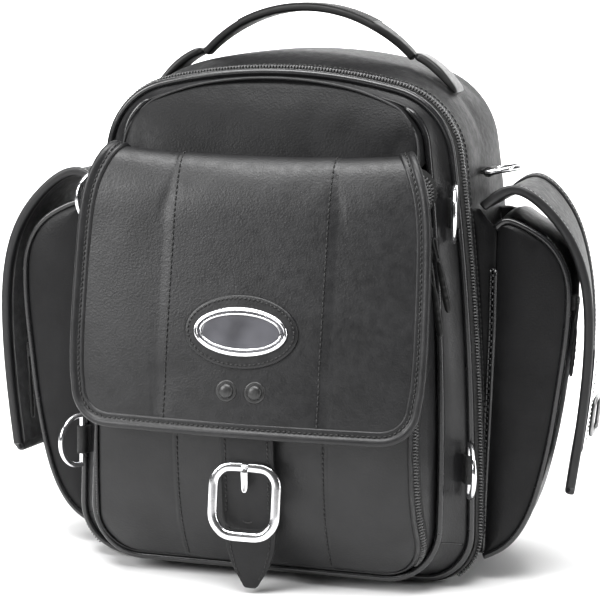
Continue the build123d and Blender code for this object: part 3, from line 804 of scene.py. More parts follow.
def back_of_bag(m):
    """The back panel with its welt, and the sleeve and webbing straps that hold it on a backrest."""
    covers = [m["vinyl"], m["lining"]]
    flat = fill_loop(*half_sides(arch(BODY_ARCH_MIDDLE, 1.2)), np.linspace(0, 100, 21), np.linspace(0.1, 1, 8), 64)
    edge = np.minimum.reduce([flat[..., 1], 366 - flat[..., 1], 150 - np.abs(flat[..., 0])])
    grid = upright(flat, REAR_Y + 2.0 + 2.0 * smoothstep(edge, 4, 22))
    slab("back_panel_cover", "bag_body", grid, facing(grid, (0, 1, 0)), 2.4, covers, "vinyl", ["back_panel"])
    welt = Piece()
    line = upright(arch(BODY_ARCH_MIDDLE, 2.3), REAR_Y + 1.7)
    welt.sweep(line, (0, 1, 0), circle(2.2, 12), closed=True)
    welt.make("back_piping", "bag_body", m["piping"], "piping")
    thread = Piece()
    row = upright(arch(BODY_ARCH_MIDDLE, 12.0), REAR_Y + 3.3)
    stitches(thread, np.vstack([row, row[:1]]), (0, 1, 0))

    low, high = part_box("bar_sleeve")
    half, bottom, top, far = high[0] / MM, low[2] / MM, high[2] / MM, high[1] / MM
    near = low[1] / MM + 0.2
    across = np.concatenate([[-half], np.linspace(-half + 1.5, -half + 14, 8), np.linspace(-half + 20, half - 20, 24),
                             np.linspace(half - 14, half - 1.5, 8), [half]])
    rise = np.concatenate([[bottom, bottom + 1.5, bottom + 5, bottom + 8, bottom + 10],
                           np.linspace(bottom + 16, top - 16, 24),
                           [top - 10, top - 8, top - 5, top - 1.5, top]])
    shape = smoothstep(half - np.abs(across), 0, 15)
    sag = 1.3 * np.sin(np.pi * (rise - bottom) / (top - bottom))
    hem = 0.9 * (np.minimum(rise - bottom, top - rise) < 9)
    depth = near + 1.2 + (far - near - 3.4) * shape[:, None] + shape[:, None] * (sag + hem)[None]
    grid = np.stack([np.broadcast_to(across[:, None], depth.shape), depth,
                     np.broadcast_to(rise[None], depth.shape)], axis=-1)
    normals = facing(grid, (0, 1, 0))
    slab("backrest_sleeve", "bag_body", grid, normals, 2.4, covers, "lining", ["bar_sleeve"])
    for j in (4, -5):
        stitches(thread, grid[3:-3, j], normals[3:-3, j])
    for i in (2, -3):
        stitches(thread, grid[i], normals[i])

    straps = Piece()
    low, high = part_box("mounting_straps")
    width = 25.0
    for sign in (-1, 1):
        x = sign * (high[0] / MM - width / 2)
        zs = np.linspace(low[2] / MM, high[2] / MM, 50)
        middle = np.sin(np.pi * np.clip((zs - zs[0] - 26) / (zs[-1] - zs[0] - 52), 0, 1))
        ys = low[1] / MM + 1.0 + 1.6 * middle
        path = np.stack([np.full(50, x), ys, zs], axis=1)
        straps.sweep(path, (0, 1, 0), rounded_box(width / 2, -0.9, 0.9, 0.6))
        for z0 in (zs[0] + 4, zs[-1] - 24):
            corners = [(-9, 0), (9, 0), (9, 20), (-9, 20), (-9, 0), (9, 20), (9, 0), (-9, 20)]
            for (ax, az), (bx, bz) in zip(corners, corners[1:]):
                ends = np.array([(x + ax, low[1] / MM + 2.0, z0 + az), (x + bx, low[1] / MM + 2.0, z0 + bz)])
                stitches(thread, even(ends, 2.0), (0, 1, 0), 3.0, 0.35)
    straps.make("mounting_webbing", "bag_body", m["webbing"], "webbing", ["mounting_straps"])
    thread.make("back_stitches", "bag_body", m["thread"], "strap")


# ---- front door and front pocket -------------------------------------------------------------------------
def door_frame(m, pocket):
    bead = Piece()
    loop = arch(FRAME_ARCH, PIPING)
    bead.sweep(upright(loop, DOOR_Y - 2.6), (0, 1, 0), circle(PIPING, 14), closed=True)
    flange = np.stack([upright(arch(FRAME_ARCH, d), y) for d, y in
                       ((2.2, DOOR_Y - 1.2), (1.6, DOOR_Y), (1.5, DOOR_Y + 1.2), (2.6, DOOR_Y + 1.6))], axis=1)
    bead.sheet(flange, outward(flange), 1.0, wrap=True)
    bead.make("frame_piping_bead", "front_door", m["piping"], "piping", ["frame_piping"])

    near, far = upright(arch(FRAME_ARCH, 4.0), DOOR_Y - 2.4), leaning(arch(POCKET_ARCH, 1.2), 1.2)
    share = np.linspace(0, 1, 10)[None, :, None]
    grid = near[:, None] * (1 - share) + far[:, None] * share
    normals = outward(grid)
    width = np.linalg.norm(far - near, axis=1)[:, None]
    sag = -0.06 * width * np.sin(np.pi * share[..., 0])
    grid = grid + normals * sag[..., None]
    slab("front_gusset_cover", "front_door", grid, outward(grid), 2.2, [m["vinyl"], m["lining"]], "vinyl",
         ["front_gusset"], wrap=True)
    seams = Piece()
    half = near[:len(near) // 2]
    corner = int(np.argmin(np.abs(half[:, 2] - 32) + 1000 * (half[:, 0] < 60)))
    for k in (corner, -corner):
        seams.sweep(even(grid[k, 1:-1], 1.5), normals[k, 4], circle(0.55, 8, 0.8))
    seams.make("front_gusset_seams", "front_door", m["piping"], "vinyl")

    k = int(np.argmax(pocket.rear[:pocket.half, 2] > 330.5))
    line = leaning(arch(POCKET_ARCH, 1.5), 2.6)
    open_line = np.vstack([line[-k:], line[:k + 1]])
    bead = Piece()
    from_end = np.minimum(np.arange(len(open_line)), np.arange(len(open_line))[::-1])
    taper = np.clip(from_end / 3 + 0.35, 0, 1)
    bead.sweep(open_line, (0, 1, 0), circle(PIPING, 14)[None] * taper[:, None, None])
    bead.make("pocket_piping_bead", "front_door", m["piping"], "piping", ["pocket_piping"])


def pocket_walls(m, pocket):
    """The strip between the pocket's piping and its front edge, with the zipper that runs up it."""
    k = pocket.side_index(POCKET_ZIP_TOP - 4)
    index = np.arange(-k, k + 1)
    grid = pocket.wall(index, (0.6, 1.6, 3.0, 4.5, 5.6))
    slab("pocket_panel_return", "front_door", grid, wall_normals(grid), 1.2, [m["vinyl"]], "vinyl", level=0)
    share = np.linspace(0, 1, 10)[None]
    depth = pocket.depth[index][:, None]
    start = np.minimum(5.0, depth * 0.5)
    backs = start + (depth - start) * share
    edge, rear = pocket.edge[index], pocket.rear[index]
    grid = edge[:, None] + unit(rear - edge)[:, None] * backs[..., None]
    normals = wall_normals(grid)
    grid = grid - normals * (1.1 * np.sin(np.pi * np.clip(share * 1.6, 0, 1)) + 0.5)[..., None]
    slab("pocket_side_strip", "front_door", grid, normals, 1.6, [m["vinyl"]], "vinyl", ["front_pocket_gusset"])

    zipped = range(int(np.argmax(pocket.depth > 13.5)), pocket.side_index(262))
    side = np.array([pocket.wall(np.array([i]), [min(POCKET_ZIP_BACK, pocket.depth[i] - 3)])[0, 0] for i in zipped])
    out = unit(np.cross(tangents(side), unit(pocket.rear[zipped] - pocket.edge[zipped])))
    if out[:, 0].mean() < 0:
        out = -out
    corner = [(115.4, pocket_y(280) + 7.5, 276), (111.5, pocket_y(286) + 3.4, 285), (103.0, pocket_y(289) + 0.6, 289)]
    across = [(x, pocket_y(POCKET_ZIP_TOP) - 0.2, POCKET_ZIP_TOP) for x in (92, 70, 45, 20, 0)]
    right = np.vstack([side, curve([side[-1]] + corner + across[:1], 16)[1:], across[1:]])
    ups = np.vstack([out, unit(np.array([(math.cos(a), -math.sin(a), 0.0) for a in np.linspace(0.1, 1.45, 15)])),
                     [(0, -1, 0.25)] * 4])
    path = np.vstack([right, right[-2::-1] * (-1, 1, 1)])
    up = np.vstack([ups, ups[-2::-1] * (-1, 1, 1)])
    path, up = even_pair(path, up, 3.0)
    band = Piece()
    band.sweep(path - up * 0.8, up, rounded_box(6.6, -0.8, 0.35, 0.3))
    coil(band, path - up * 0.7, up, 3.6, 2.2, 0.64)
    band.make("pocket_zipper_teeth", "front_door", [m["tape"], m["coil"]], "zipper", ["front_zipper"])


def wall_normals(grid):
    """Normals of a strip that goes round the pocket's sides, pointing outwards."""
    normals = grid_normals(grid)
    away = grid - (0, 0, POCKET_MIDDLE_Z)
    sign = np.sign(normals[..., 0] * away[..., 0] + normals[..., 2] * away[..., 2])
    return normals * np.where(sign.sum() > 0, 1, -1)


def upper_lift(z):
    """How far the upper panel's top edge rises above the pocket's own arch."""
    return (6.5 * smoothstep(z, 320, 341))[:, None]


def pocket_panels(m, pocket, pads):
    """The front pocket's face: three sewn panels below the zipper, and one padded panel above it."""
    loop = pocket.edge[:, (0, 2)]
    base, side, roof = half_sides(loop, POCKET_ZIP_TOP - 4)
    spread = [0.12, 0.25, 0.38, 0.5, 0.62, 0.74, 0.84, 0.92, 0.97, 1.0]
    flat = fill_loop(base, side, roof, seam_columns(POCKET_SEAM), spread, 74)
    widest = np.interp(flat[..., 1], side[:, 1], side[:, 0])
    ratio = np.abs(flat[..., 0]) / widest
    grid = upright(flat, pocket_y(flat[..., 1]) + 2.6 * ratio ** 8)
    normals = facing(grid, (0, -1, 0))
    pins = rim_pins(grid) | (np.abs(np.abs(grid[..., 0]) - POCKET_SEAM) < 0.6)
    lower = Pad(grid, normals, pins, 3.0, 3.0, 0.004)

    base, side, roof = half_sides(loop)
    roof = roof + upper_lift(roof[:, 1]) * (0, 1)
    start = POCKET_ZIP_TOP + 2.5
    x = np.interp(start, side[:, 1], side[:, 0])
    side = np.vstack([[(x, start)], side[side[:, 1] > start + 1]])
    side[-1] = roof[-1]
    base = np.array([(0, start), (x, start)])
    flat = fill_loop(base, side, roof, np.linspace(0, 80, 18), np.linspace(0.15, 1, 9), 22)
    grid = upright(flat, pocket_y(flat[..., 1]))
    edge = np.minimum(x - np.abs(grid[..., 0]), 353 - grid[..., 2])
    grid[..., 1] += 2.4 * (1 - smoothstep(edge, -1, 9))
    upper = Pad(grid, facing(grid, (0, -1, 0)), rim_pins(grid), 7.0, 4.5, 0.004)
    pads.extend((lower, upper))

    def finish():
        normals = facing(lower.grid, (0, -1, 0))
        shaped = lower_side_layers(lower.grid, normals, POCKET_SEAM)
        slab("pocket_panel", "front_door", shaped, normals, 2.4, [m["vinyl"], m["lining"]], "vinyl",
             ["front_pocket_panel"])
        thread = Piece()
        for sign in (-1, 1):
            line, ups = column_line(shaped, normals, sign * POCKET_SEAM)
            stitches(thread, line[1:] + ups[1:] * 0.25, ups[1:])
        thread.make("pocket_panel_stitches", "front_door", m["thread"], "strap")
        slab("upper_panel_cover", "front_door", upper.grid, facing(upper.grid, (0, -1, 0)), 2.4,
             [m["upper"], m["lining"]], "vinyl", ["upper_panel"])
        index = np.arange(pocket.side_index(start), 2 * pocket.half - pocket.side_index(start) + 1)
        edge, rear = pocket.edge[index % (2 * pocket.half)], pocket.rear[index % (2 * pocket.half)]
        lift = upper_lift(edge[:, 2]) * (0, 0, 1)
        share = np.linspace(0, 1, 7)[None, :, None]
        back = rear + lift * 0.6
        strip = (edge + lift)[:, None] * (1 - share) + back[:, None] * share
        strip[:, 0] += (back - edge - lift) * 0.03
        slab("upper_panel_return", "front_door", strip, wall_normals(strip), 1.6, [m["vinyl"]], "vinyl", level=0)
    return finish


# ---- front lid -------------------------------------------------------------------------------------------
LID_LENGTH = 420        # points along the lid's section
LID_LOW_HALF = 123.2    # half its width at the bottom
LID_MIDDLE = -1.0
LID_SAG = 4.2           # how far the middle of the roll hangs below its ends


def lid_surface():
    """The lid's outer face as a grid, columns across and rows from the bound bottom edge up over the roll."""
    line = curve(LID_PATH[::-1], LID_LENGTH)
    run = np.concatenate([[0.0], np.cumsum(np.linalg.norm(np.diff(line, axis=0), axis=1))])
    top = run[-1]
    edge_z = np.array([z for _, z in LID_EDGE])
    crest = int(np.argmax(line[:, 1]))
    front_run = np.interp(edge_z[1:], line[:crest, 1], run[:crest])
    runs = np.concatenate([front_run[::-1], [run[crest] + 1.0, top]])
    halves = np.array([x for x, _ in LID_EDGE])
    halves = np.concatenate([halves[1:][::-1], [106.5, 104.0]])
    side_half = even(curve(np.stack([halves, runs], axis=1), 200), 2.0)

    last = np.array([LID_EDGE[-1][0] - 0.15, np.interp(LID_EDGE[-1][1], line[:crest, 1], run[:crest])])
    angles = np.linspace(0, math.pi / 2, 16)
    turn = LID_LOW_HALF - LID_CORNER
    arc = np.stack([turn + LID_CORNER * np.sin(angles), LID_CORNER - LID_CORNER * np.cos(angles)], axis=1)
    cut = 6          # the arc's points up to this one belong to the base, and the others to the side
    base = np.vstack([[(0, 0)], np.stack([np.linspace(20, turn, 6), np.zeros(6)], axis=1), arc[1:cut + 1]])
    side = np.vstack([arc[cut:], [last], side_half[side_half[:, 1] > last[1] + 6]])
    side = side[np.concatenate([[True], np.diff(side[:, 1]) > 0.05])]
    roof = np.array([(0, top), (side[-1, 0], top)])
    spread = [0.1, 0.2, 0.32, 0.44, 0.56, 0.68, 0.79, 0.88, 0.95, 1.0]
    flat = fill_loop(base, side, roof, seam_columns(LID_SEAM), spread, 64)
    y = np.interp(flat[..., 1], run, line[:, 0])
    z = np.interp(flat[..., 1], run, line[:, 1])
    bow = 9 * np.clip((300 - z) / 185, 0, 1) * (flat[..., 0] / 125) ** 2
    z = z - LID_SAG * (1 - (flat[..., 0] / 104) ** 2).clip(0, 1) * smoothstep(z, 262, 300)
    return np.stack([flat[..., 0] + LID_MIDDLE, y + bow, z], axis=-1)


def border(grid):
    """The lid's free edge as one line: down the right side from the hinge, round the bottom, and up the left."""
    return np.vstack([grid[-1, ::-1], grid[-2:0:-1, 0], grid[0]])


def front_lid(m, pads):
    grid = lid_surface()
    normals = facing(grid, (0, -1, 0.3))
    rest_normals = normals
    pins = rim_pins(grid, 2, 3) | (np.abs(np.abs(grid[..., 0] - LID_MIDDLE) - LID_SEAM) < 0.6)
    pad = Pad(grid, normals, pins, 1.3, 1.6, 0.002)
    pads.append(pad)

    def finish():
        normals = facing(pad.grid, (0, -1, 0.3))
        centred = pad.grid - (LID_MIDDLE, 0, 0)
        shaped = lower_side_layers(centred, normals, LID_SEAM) + (LID_MIDDLE, 0, 0)
        parts = [slab("lid_panel", "", shaped, normals, 3.6, [m["vinyl"], m["lining"]], "vinyl", ["front_lid"])]
        thread = Piece()
        for sign in (-1, 1):
            line, ups = column_line(shaped, normals, LID_MIDDLE + sign * LID_SEAM)
            stitches(thread, line[2:-2] + ups[2:-2] * 0.3, ups[2:-2], 3.9, 0.48)
        line, ups = even_pair(border(grid), border(rest_normals), 2.0)
        along = tangents(line)
        side = unit(np.cross(along, ups))
        if np.sum(side[:, 0] * (line[:, 0] - LID_MIDDLE)) < 0:
            side = -side
        inner = BINDING / 2
        section = [(inner + 0.2, 0.4), (inner + 0.1, 1.7), (inner - 1.0, 2.75), (inner - 2.6, 2.95),
                   (inner - 4.6, 2.2), (0.2, 1.65), (-1.5, 1.00), (-3.0, 1.30), (-4.4, 1.20), (-5.0, 0.5),
                   (-5.2, -0.3), (-5.0, -4.2), (-4.2, -5.2), (0.5, -5.0), (inner - 1.5, -4.6), (inner, -3.2),
                   (inner + 0.35, -1.4)]
        flipped = np.sum(np.cross(along, ups) * side) < 0
        section = np.array(section) * ((-1, 1) if flipped else (1, 1))
        centre = line - side * inner
        band = Piece()
        band.sweep(centre, ups, section)
        parts.append(band.make("lid_binding_band", "", m["binding"], "binding", ["front_lid_binding"], 1))
        stitches(thread, centre - side * 1.5 + ups * 1.45, ups, 3.6, 0.52)
        parts.append(thread.make("lid_stitches", "", m["thread"], "strap"))
        for obj in parts:
            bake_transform(obj)
        emblem(m, shaped, normals)
    return finish


# ---- emblem and rivets on the lid ------------------------------------------------------------------------
def dome(piece, centre, axes, size, profile, rim=64):
    """A closed cap on an oval: profile lists (share of the size, height) from the rim in to the middle."""
    angles = np.arange(rim) * 2 * math.pi / rim
    rings = []
    for share, height in profile:
        flat = np.stack([share * size[0] * np.cos(angles), share * size[1] * np.sin(angles),
                         np.full(rim, height)], axis=1)
        rings.append(centre + flat @ axes)
    points = np.vstack(rings + [[centre + np.array([0, 0, profile[-1][1]]) @ axes]])
    k = len(profile)
    faces = tube_faces(k, rim)[:-2]
    faces += [((k - 1) * rim + q, (k - 1) * rim + (q + 1) % rim, k * rim) for q in range(rim)]
    piece.add(points, faces + [tuple(range(rim))[::-1]])


def ring_band(piece, centre, axes, size, section, rim=72):
    """A closed band round an oval: section lists (offset outwards, height)."""
    angles = np.arange(rim) * 2 * math.pi / rim
    loop = np.stack([size[0] * np.cos(angles), size[1] * np.sin(angles), np.zeros(rim)], axis=1)
    piece.sweep(centre + loop @ axes, axes[2], section, closed=True)


def surface_axes(normal):
    """Axes on a front-facing surface: to the right, up, and out of it."""
    right = unit(np.cross((0, 0, 1.0), -normal))
    right = right if right[0] > 0 else -right
    return np.stack([right, unit(np.cross(normal, right)), normal])


EMBLEM_PLACE = (-2.3, 184.0)
PATCH_SIZE = (40.0, 25.0)
RING_SIZE = (31.6, 15.3)
RIVET_PLACES = (-10.3, 9.7)
RIVET_Z = 144.5


def emblem(m, grid, normals):
    """A stitched oval patch with a chrome double ring round a plain glossy field, and two domed rivets."""
    point, normal = surface_point(grid, normals, *EMBLEM_PLACE)
    axes = surface_axes(normal)
    if axes[1][2] < 0:
        axes[1] = -axes[1]
    point = point - normal * 0.6
    patch = Piece()
    rise = [(0.985, -1.0), (1.0, 0.6), (0.992, 1.3), (0.965, 1.75), (0.9, 1.9), (0.6, 1.9), (0.3, 1.9)]
    dome(patch, point, axes, PATCH_SIZE, rise)
    patch.make("emblem_stitched_patch", "front_lid", m["binding"], "vinyl", ["emblem_patch"])
    thread = Piece()
    angles = np.linspace(0, 2 * math.pi, 181)
    oval = point + np.stack([(PATCH_SIZE[0] - 2.6) * np.cos(angles), (PATCH_SIZE[1] - 2.6) * np.sin(angles),
                             np.full(181, 1.95)], axis=1) @ axes
    stitches(thread, oval, normal, 3.2, 0.55)
    thread.make("emblem_stitches", "front_lid", m["thread"], "strap")
    ring = Piece()
    outer = [(1.35, 1.6), (1.3, 2.6), (0.75, 3.35), (0.0, 3.6), (-0.75, 3.35), (-1.3, 2.6), (-1.35, 1.6)]
    ring_band(ring, point, axes, RING_SIZE, outer)
    inner = [(0.6, 1.8), (0.55, 2.7), (0.0, 3.1), (-0.55, 2.7), (-0.6, 1.8)]
    ring_band(ring, point, axes, (RING_SIZE[0] - 3.4, RING_SIZE[1] - 3.4), inner)
    ring.make("emblem_double_ring", "front_lid", m["chrome"], "chrome", ["emblem_ring"])
    field = Piece()
    size = (RING_SIZE[0] - 0.9, RING_SIZE[1] - 0.9)
    dome(field, point, axes, size, [(1.0, 1.6), (1.0, 2.0), (0.85, 2.1), (0.6, 2.25), (0.3, 2.4)])
    field.make("emblem_field_plate", "front_lid", m["enamel"], "emblem_field", ["emblem_plate"])
    caps = Piece()
    for x in RIVET_PLACES:
        spot, up = surface_point(grid, normals, x, RIVET_Z)
        spot = spot - up * 0.7
        turned = surface_axes(up)
        dome(caps, spot, turned, (7.3, 7.3), [(1.0, 0.2), (1.02, 0.8), (0.94, 1.25), (0.86, 1.3)], rim=36)
        dome(caps, spot, turned, (5.1, 5.1), [(1.0, 1.1), (1.0, 1.7), (0.93, 2.4), (0.78, 3.0), (0.55, 3.45),
                                              (0.28, 3.7)], rim=36)
    caps.make("domed_rivets", "front_lid", m["dome"], "black_metal", ["strap_rivets"])


# ---- closure strap and buckle ----------------------------------------------------------------------------
STRAP_LINE = [(-143.6, 152), (-150.6, 118), (-148.2, 92), (-143.6, 46)]
TAIL_LINE = [(-142.4, 76), (-139.0, 44), (-137.0, 3.2)]
STRAP_X = 2.0
STRAP_HALF = 19.0
STRAP_THICK = 2.8


def flat_strap(line, outline, steps):
    """A strip that follows a line in the YZ plane. outline gives its half width at a share of its length."""
    path = curve(line, steps)
    share = np.linspace(0, 1, steps)
    half = np.interp(share, *zip(*outline))
    across = np.array([-1.0, -0.96, -0.86, -0.79, -0.72, -0.5, -0.25, 0, 0.25, 0.5, 0.72, 0.79, 0.86, 0.96, 1.0])
    crown = np.array([-0.75, -0.25, 0.0, -0.28, 0, 0.10, 0.15, 0.15, 0.15, 0.10, 0, -0.28, 0.0, -0.25, -0.75])
    grid = np.zeros((len(across), steps, 3))
    grid[..., 0] = STRAP_X + across[:, None] * half[None]
    grid[..., 1], grid[..., 2] = path[None, :, 0], path[None, :, 1]
    normals = facing(grid, (0, -1, 0))
    return grid + normals * crown[:, None, None], normals


def edge_stitches(m, name, grid):
    """A row of thread along each edge of a strap."""
    thread = Piece()
    for column in (3, -4):
        stitches(thread, grid[column] + (0, -0.15, 0), (0, -1, 0.02), 3.3, 0.52)
    thread.make(name, "front_lid", m["thread"], "strap")


def closure(m):
    """The strap through the buckle, with its punched hole, and its pointed tail."""
    top = Piece()
    ends = [(0, STRAP_HALF), (0.93, STRAP_HALF), (0.955, STRAP_HALF * 0.965), (0.975, STRAP_HALF * 0.87),
            (0.99, STRAP_HALF * 0.70), (1.0, STRAP_HALF * 0.5)]
    grid, normals = flat_strap(STRAP_LINE, ends, 70)
    top.sheet(grid, normals, STRAP_THICK, back_slot=1)
    spot, _ = surface_point(grid, normals, STRAP_X, 52.0)
    hole = [(math.sin(a) * 3.4, -math.cos(a) * 1.6 + 1.2) for a in np.linspace(-1.2, 1.2, 9)]
    cut = np.array([(spot[0] + x, spot[1] - 0.3, spot[2] + z) for x, z in hole])
    top.sweep(cut, (0, -1, 0), circle(0.45, 8), slot=2)
    finishes = [m["strap"], m["lining"], m["thread"]]
    top.make("closure_strap_leather", "front_lid", finishes, "strap", ["closure_strap"], 1)
    edge_stitches(m, "strap_stitches", grid[:, 2:62])

    ends = [(0, STRAP_HALF * 0.98), (0.42, STRAP_HALF * 0.98), (0.62, STRAP_HALF * 0.92), (0.80, 13.0), (0.93, 7.2),
            (0.985, 5.0), (1.0, 3.2)]
    grid, normals = flat_strap(TAIL_LINE, ends, 60)
    slab("strap_tail_leather", "front_lid", grid, normals, STRAP_THICK, [m["strap"]], "strap", ["strap_tail"])
    edge_stitches(m, "tail_stitches", grid[:, 3:55])


BUCKLE = {"centre": (2.0, -152.4, 68.0), "lean": 7.0, "half": (22.3, 22.8), "radii": (11.5, 14.0)}


def buckle(m):
    """A heart-shouldered square buckle with a flattened, rounded frame, and its prong."""
    lean = math.radians(BUCKLE["lean"])
    axes = np.array([(1, 0, 0), (0, math.sin(lean), math.cos(lean)), (0, -math.cos(lean), math.sin(lean))])
    centre = np.array(BUCKLE["centre"])
    (w, h), (top_r, low_r) = BUCKLE["half"], BUCKLE["radii"]
    corners = [(w - low_r, -h + low_r, low_r, -90), (w - top_r, h - top_r, top_r, 0),
               (-w + top_r, h - top_r, top_r, 90), (-w + low_r, -h + low_r, low_r, 180)]
    loop = []
    for cx, cy, r, start in corners:
        for a in np.radians(np.linspace(start, start + 90, 9)):
            loop.append((cx + r * math.cos(a), cy + r * math.sin(a)))
    loop = even(loop, 2.0, closed=True)
    loop[:, 1] += 0.9 * (1 - (loop[:, 0] / w) ** 2) * np.sign(loop[:, 1]) * (np.abs(loop[:, 1]) > h - 3)
    path = centre + np.stack([loop[:, 0], loop[:, 1], np.zeros(len(loop))], axis=1) @ axes
    angles = np.arange(18) * 2 * math.pi / 18
    section = np.stack([3.4 * np.sign(np.cos(angles)) * np.abs(np.cos(angles)) ** 0.8,
                        2.35 * np.sign(np.sin(angles)) * np.abs(np.sin(angles)) ** 0.85], axis=1)
    frame_piece = Piece()
    frame_piece.sweep(path, axes[2], section, closed=True)
    frame_piece.make("buckle_cast_frame", "buckle_frame", m["chrome"], "chrome", ["buckle_frame"], 1)
    prong = Piece()
    top = centre + axes[1] * (h + 0.2)
    reach = np.array([(0.0, 2.9), (-3.0, 3.3), (-6.0, 2.6), (-10.0, 1.5), (-14.0, 1.1), (-16.6, 1.1)])
    line = curve([top + axes[1] * a + axes[2] * (b - 0.4) for a, b in reach], 26)
    width = np.interp(np.linspace(0, 1, 26), [0, 0.2, 0.8, 0.93, 1.0], [2.6, 2.5, 2.3, 1.8, 0.9])
    bar = np.stack([rounded_box(float(a), -1.2, 1.2, min(0.8, float(a) * 0.8)) for a in width])
    prong.sweep(line, axes[2], bar)
    around = np.stack([top + axes[1] * 3.45 * math.sin(a) + axes[2] * 3.15 * math.cos(a)
                       for a in np.linspace(0.25, 2 * math.pi - 0.6, 26)])
    prong.sweep(around, axes[0], rounded_box(0.55, -2.2, 2.2, 0.4))
    prong.make("buckle_tongue", "buckle_prong", m["chrome"], "chrome", ["buckle_prong"], 1)
    groove = Piece()
    line = np.array([centre + axes[1] * (h - 2.5 - t) + axes[2] * np.interp(t, [0, 4, 8, 13], [3.62, 2.75, 2.1, 1.9])
                     for t in np.linspace(0, 13, 14)])
    groove.sweep(line, axes[2], circle(0.35, 8, 0.6))
    groove.make("buckle_tongue_groove", "buckle_prong", m["black_metal"], "black_metal")


# ---- side pockets ----------------------------------------------------------------------------------------
SIDE_FRONT_Y = -47.0
SIDE_DEPTH = 100.0
SIDE_TAPER = 10.0
SIDE_EDGE = [(150.0, 249.0), (156.0, 254.0), (163.0, 253.0), (173.0, 248.5), (184.0, 241.5), (193.0, 231.0),
             (198.8, 217.0), (200.3, 198.0), (199.0, 174.0), (195.6, 144.0), (191.3, 110.0), (187.0, 86.0),
             (181.5, 63.0), (172.5, 40.5), (160.0, 25.0), (147.0, 17.5)]
SIDE_SEAM = [(150.6, 249.0), (150.2, 221.0), (150.4, 179.0), (149.4, 129.0), (148.4, 93.0), (147.6, 57.0),
             (147.0, 19.5)]
SIDE_ROWS = 60


def side_outline(taper=0.0, grow=0.0):
    """The edge of a side pocket's end panel as (x, z), from its top at the body down to its base."""
    edge = curve(SIDE_EDGE, 150)
    edge = edge + left_of(edge) * grow
    edge[:, 0] -= taper * smoothstep(edge[:, 0], 148, 175)
    return edge


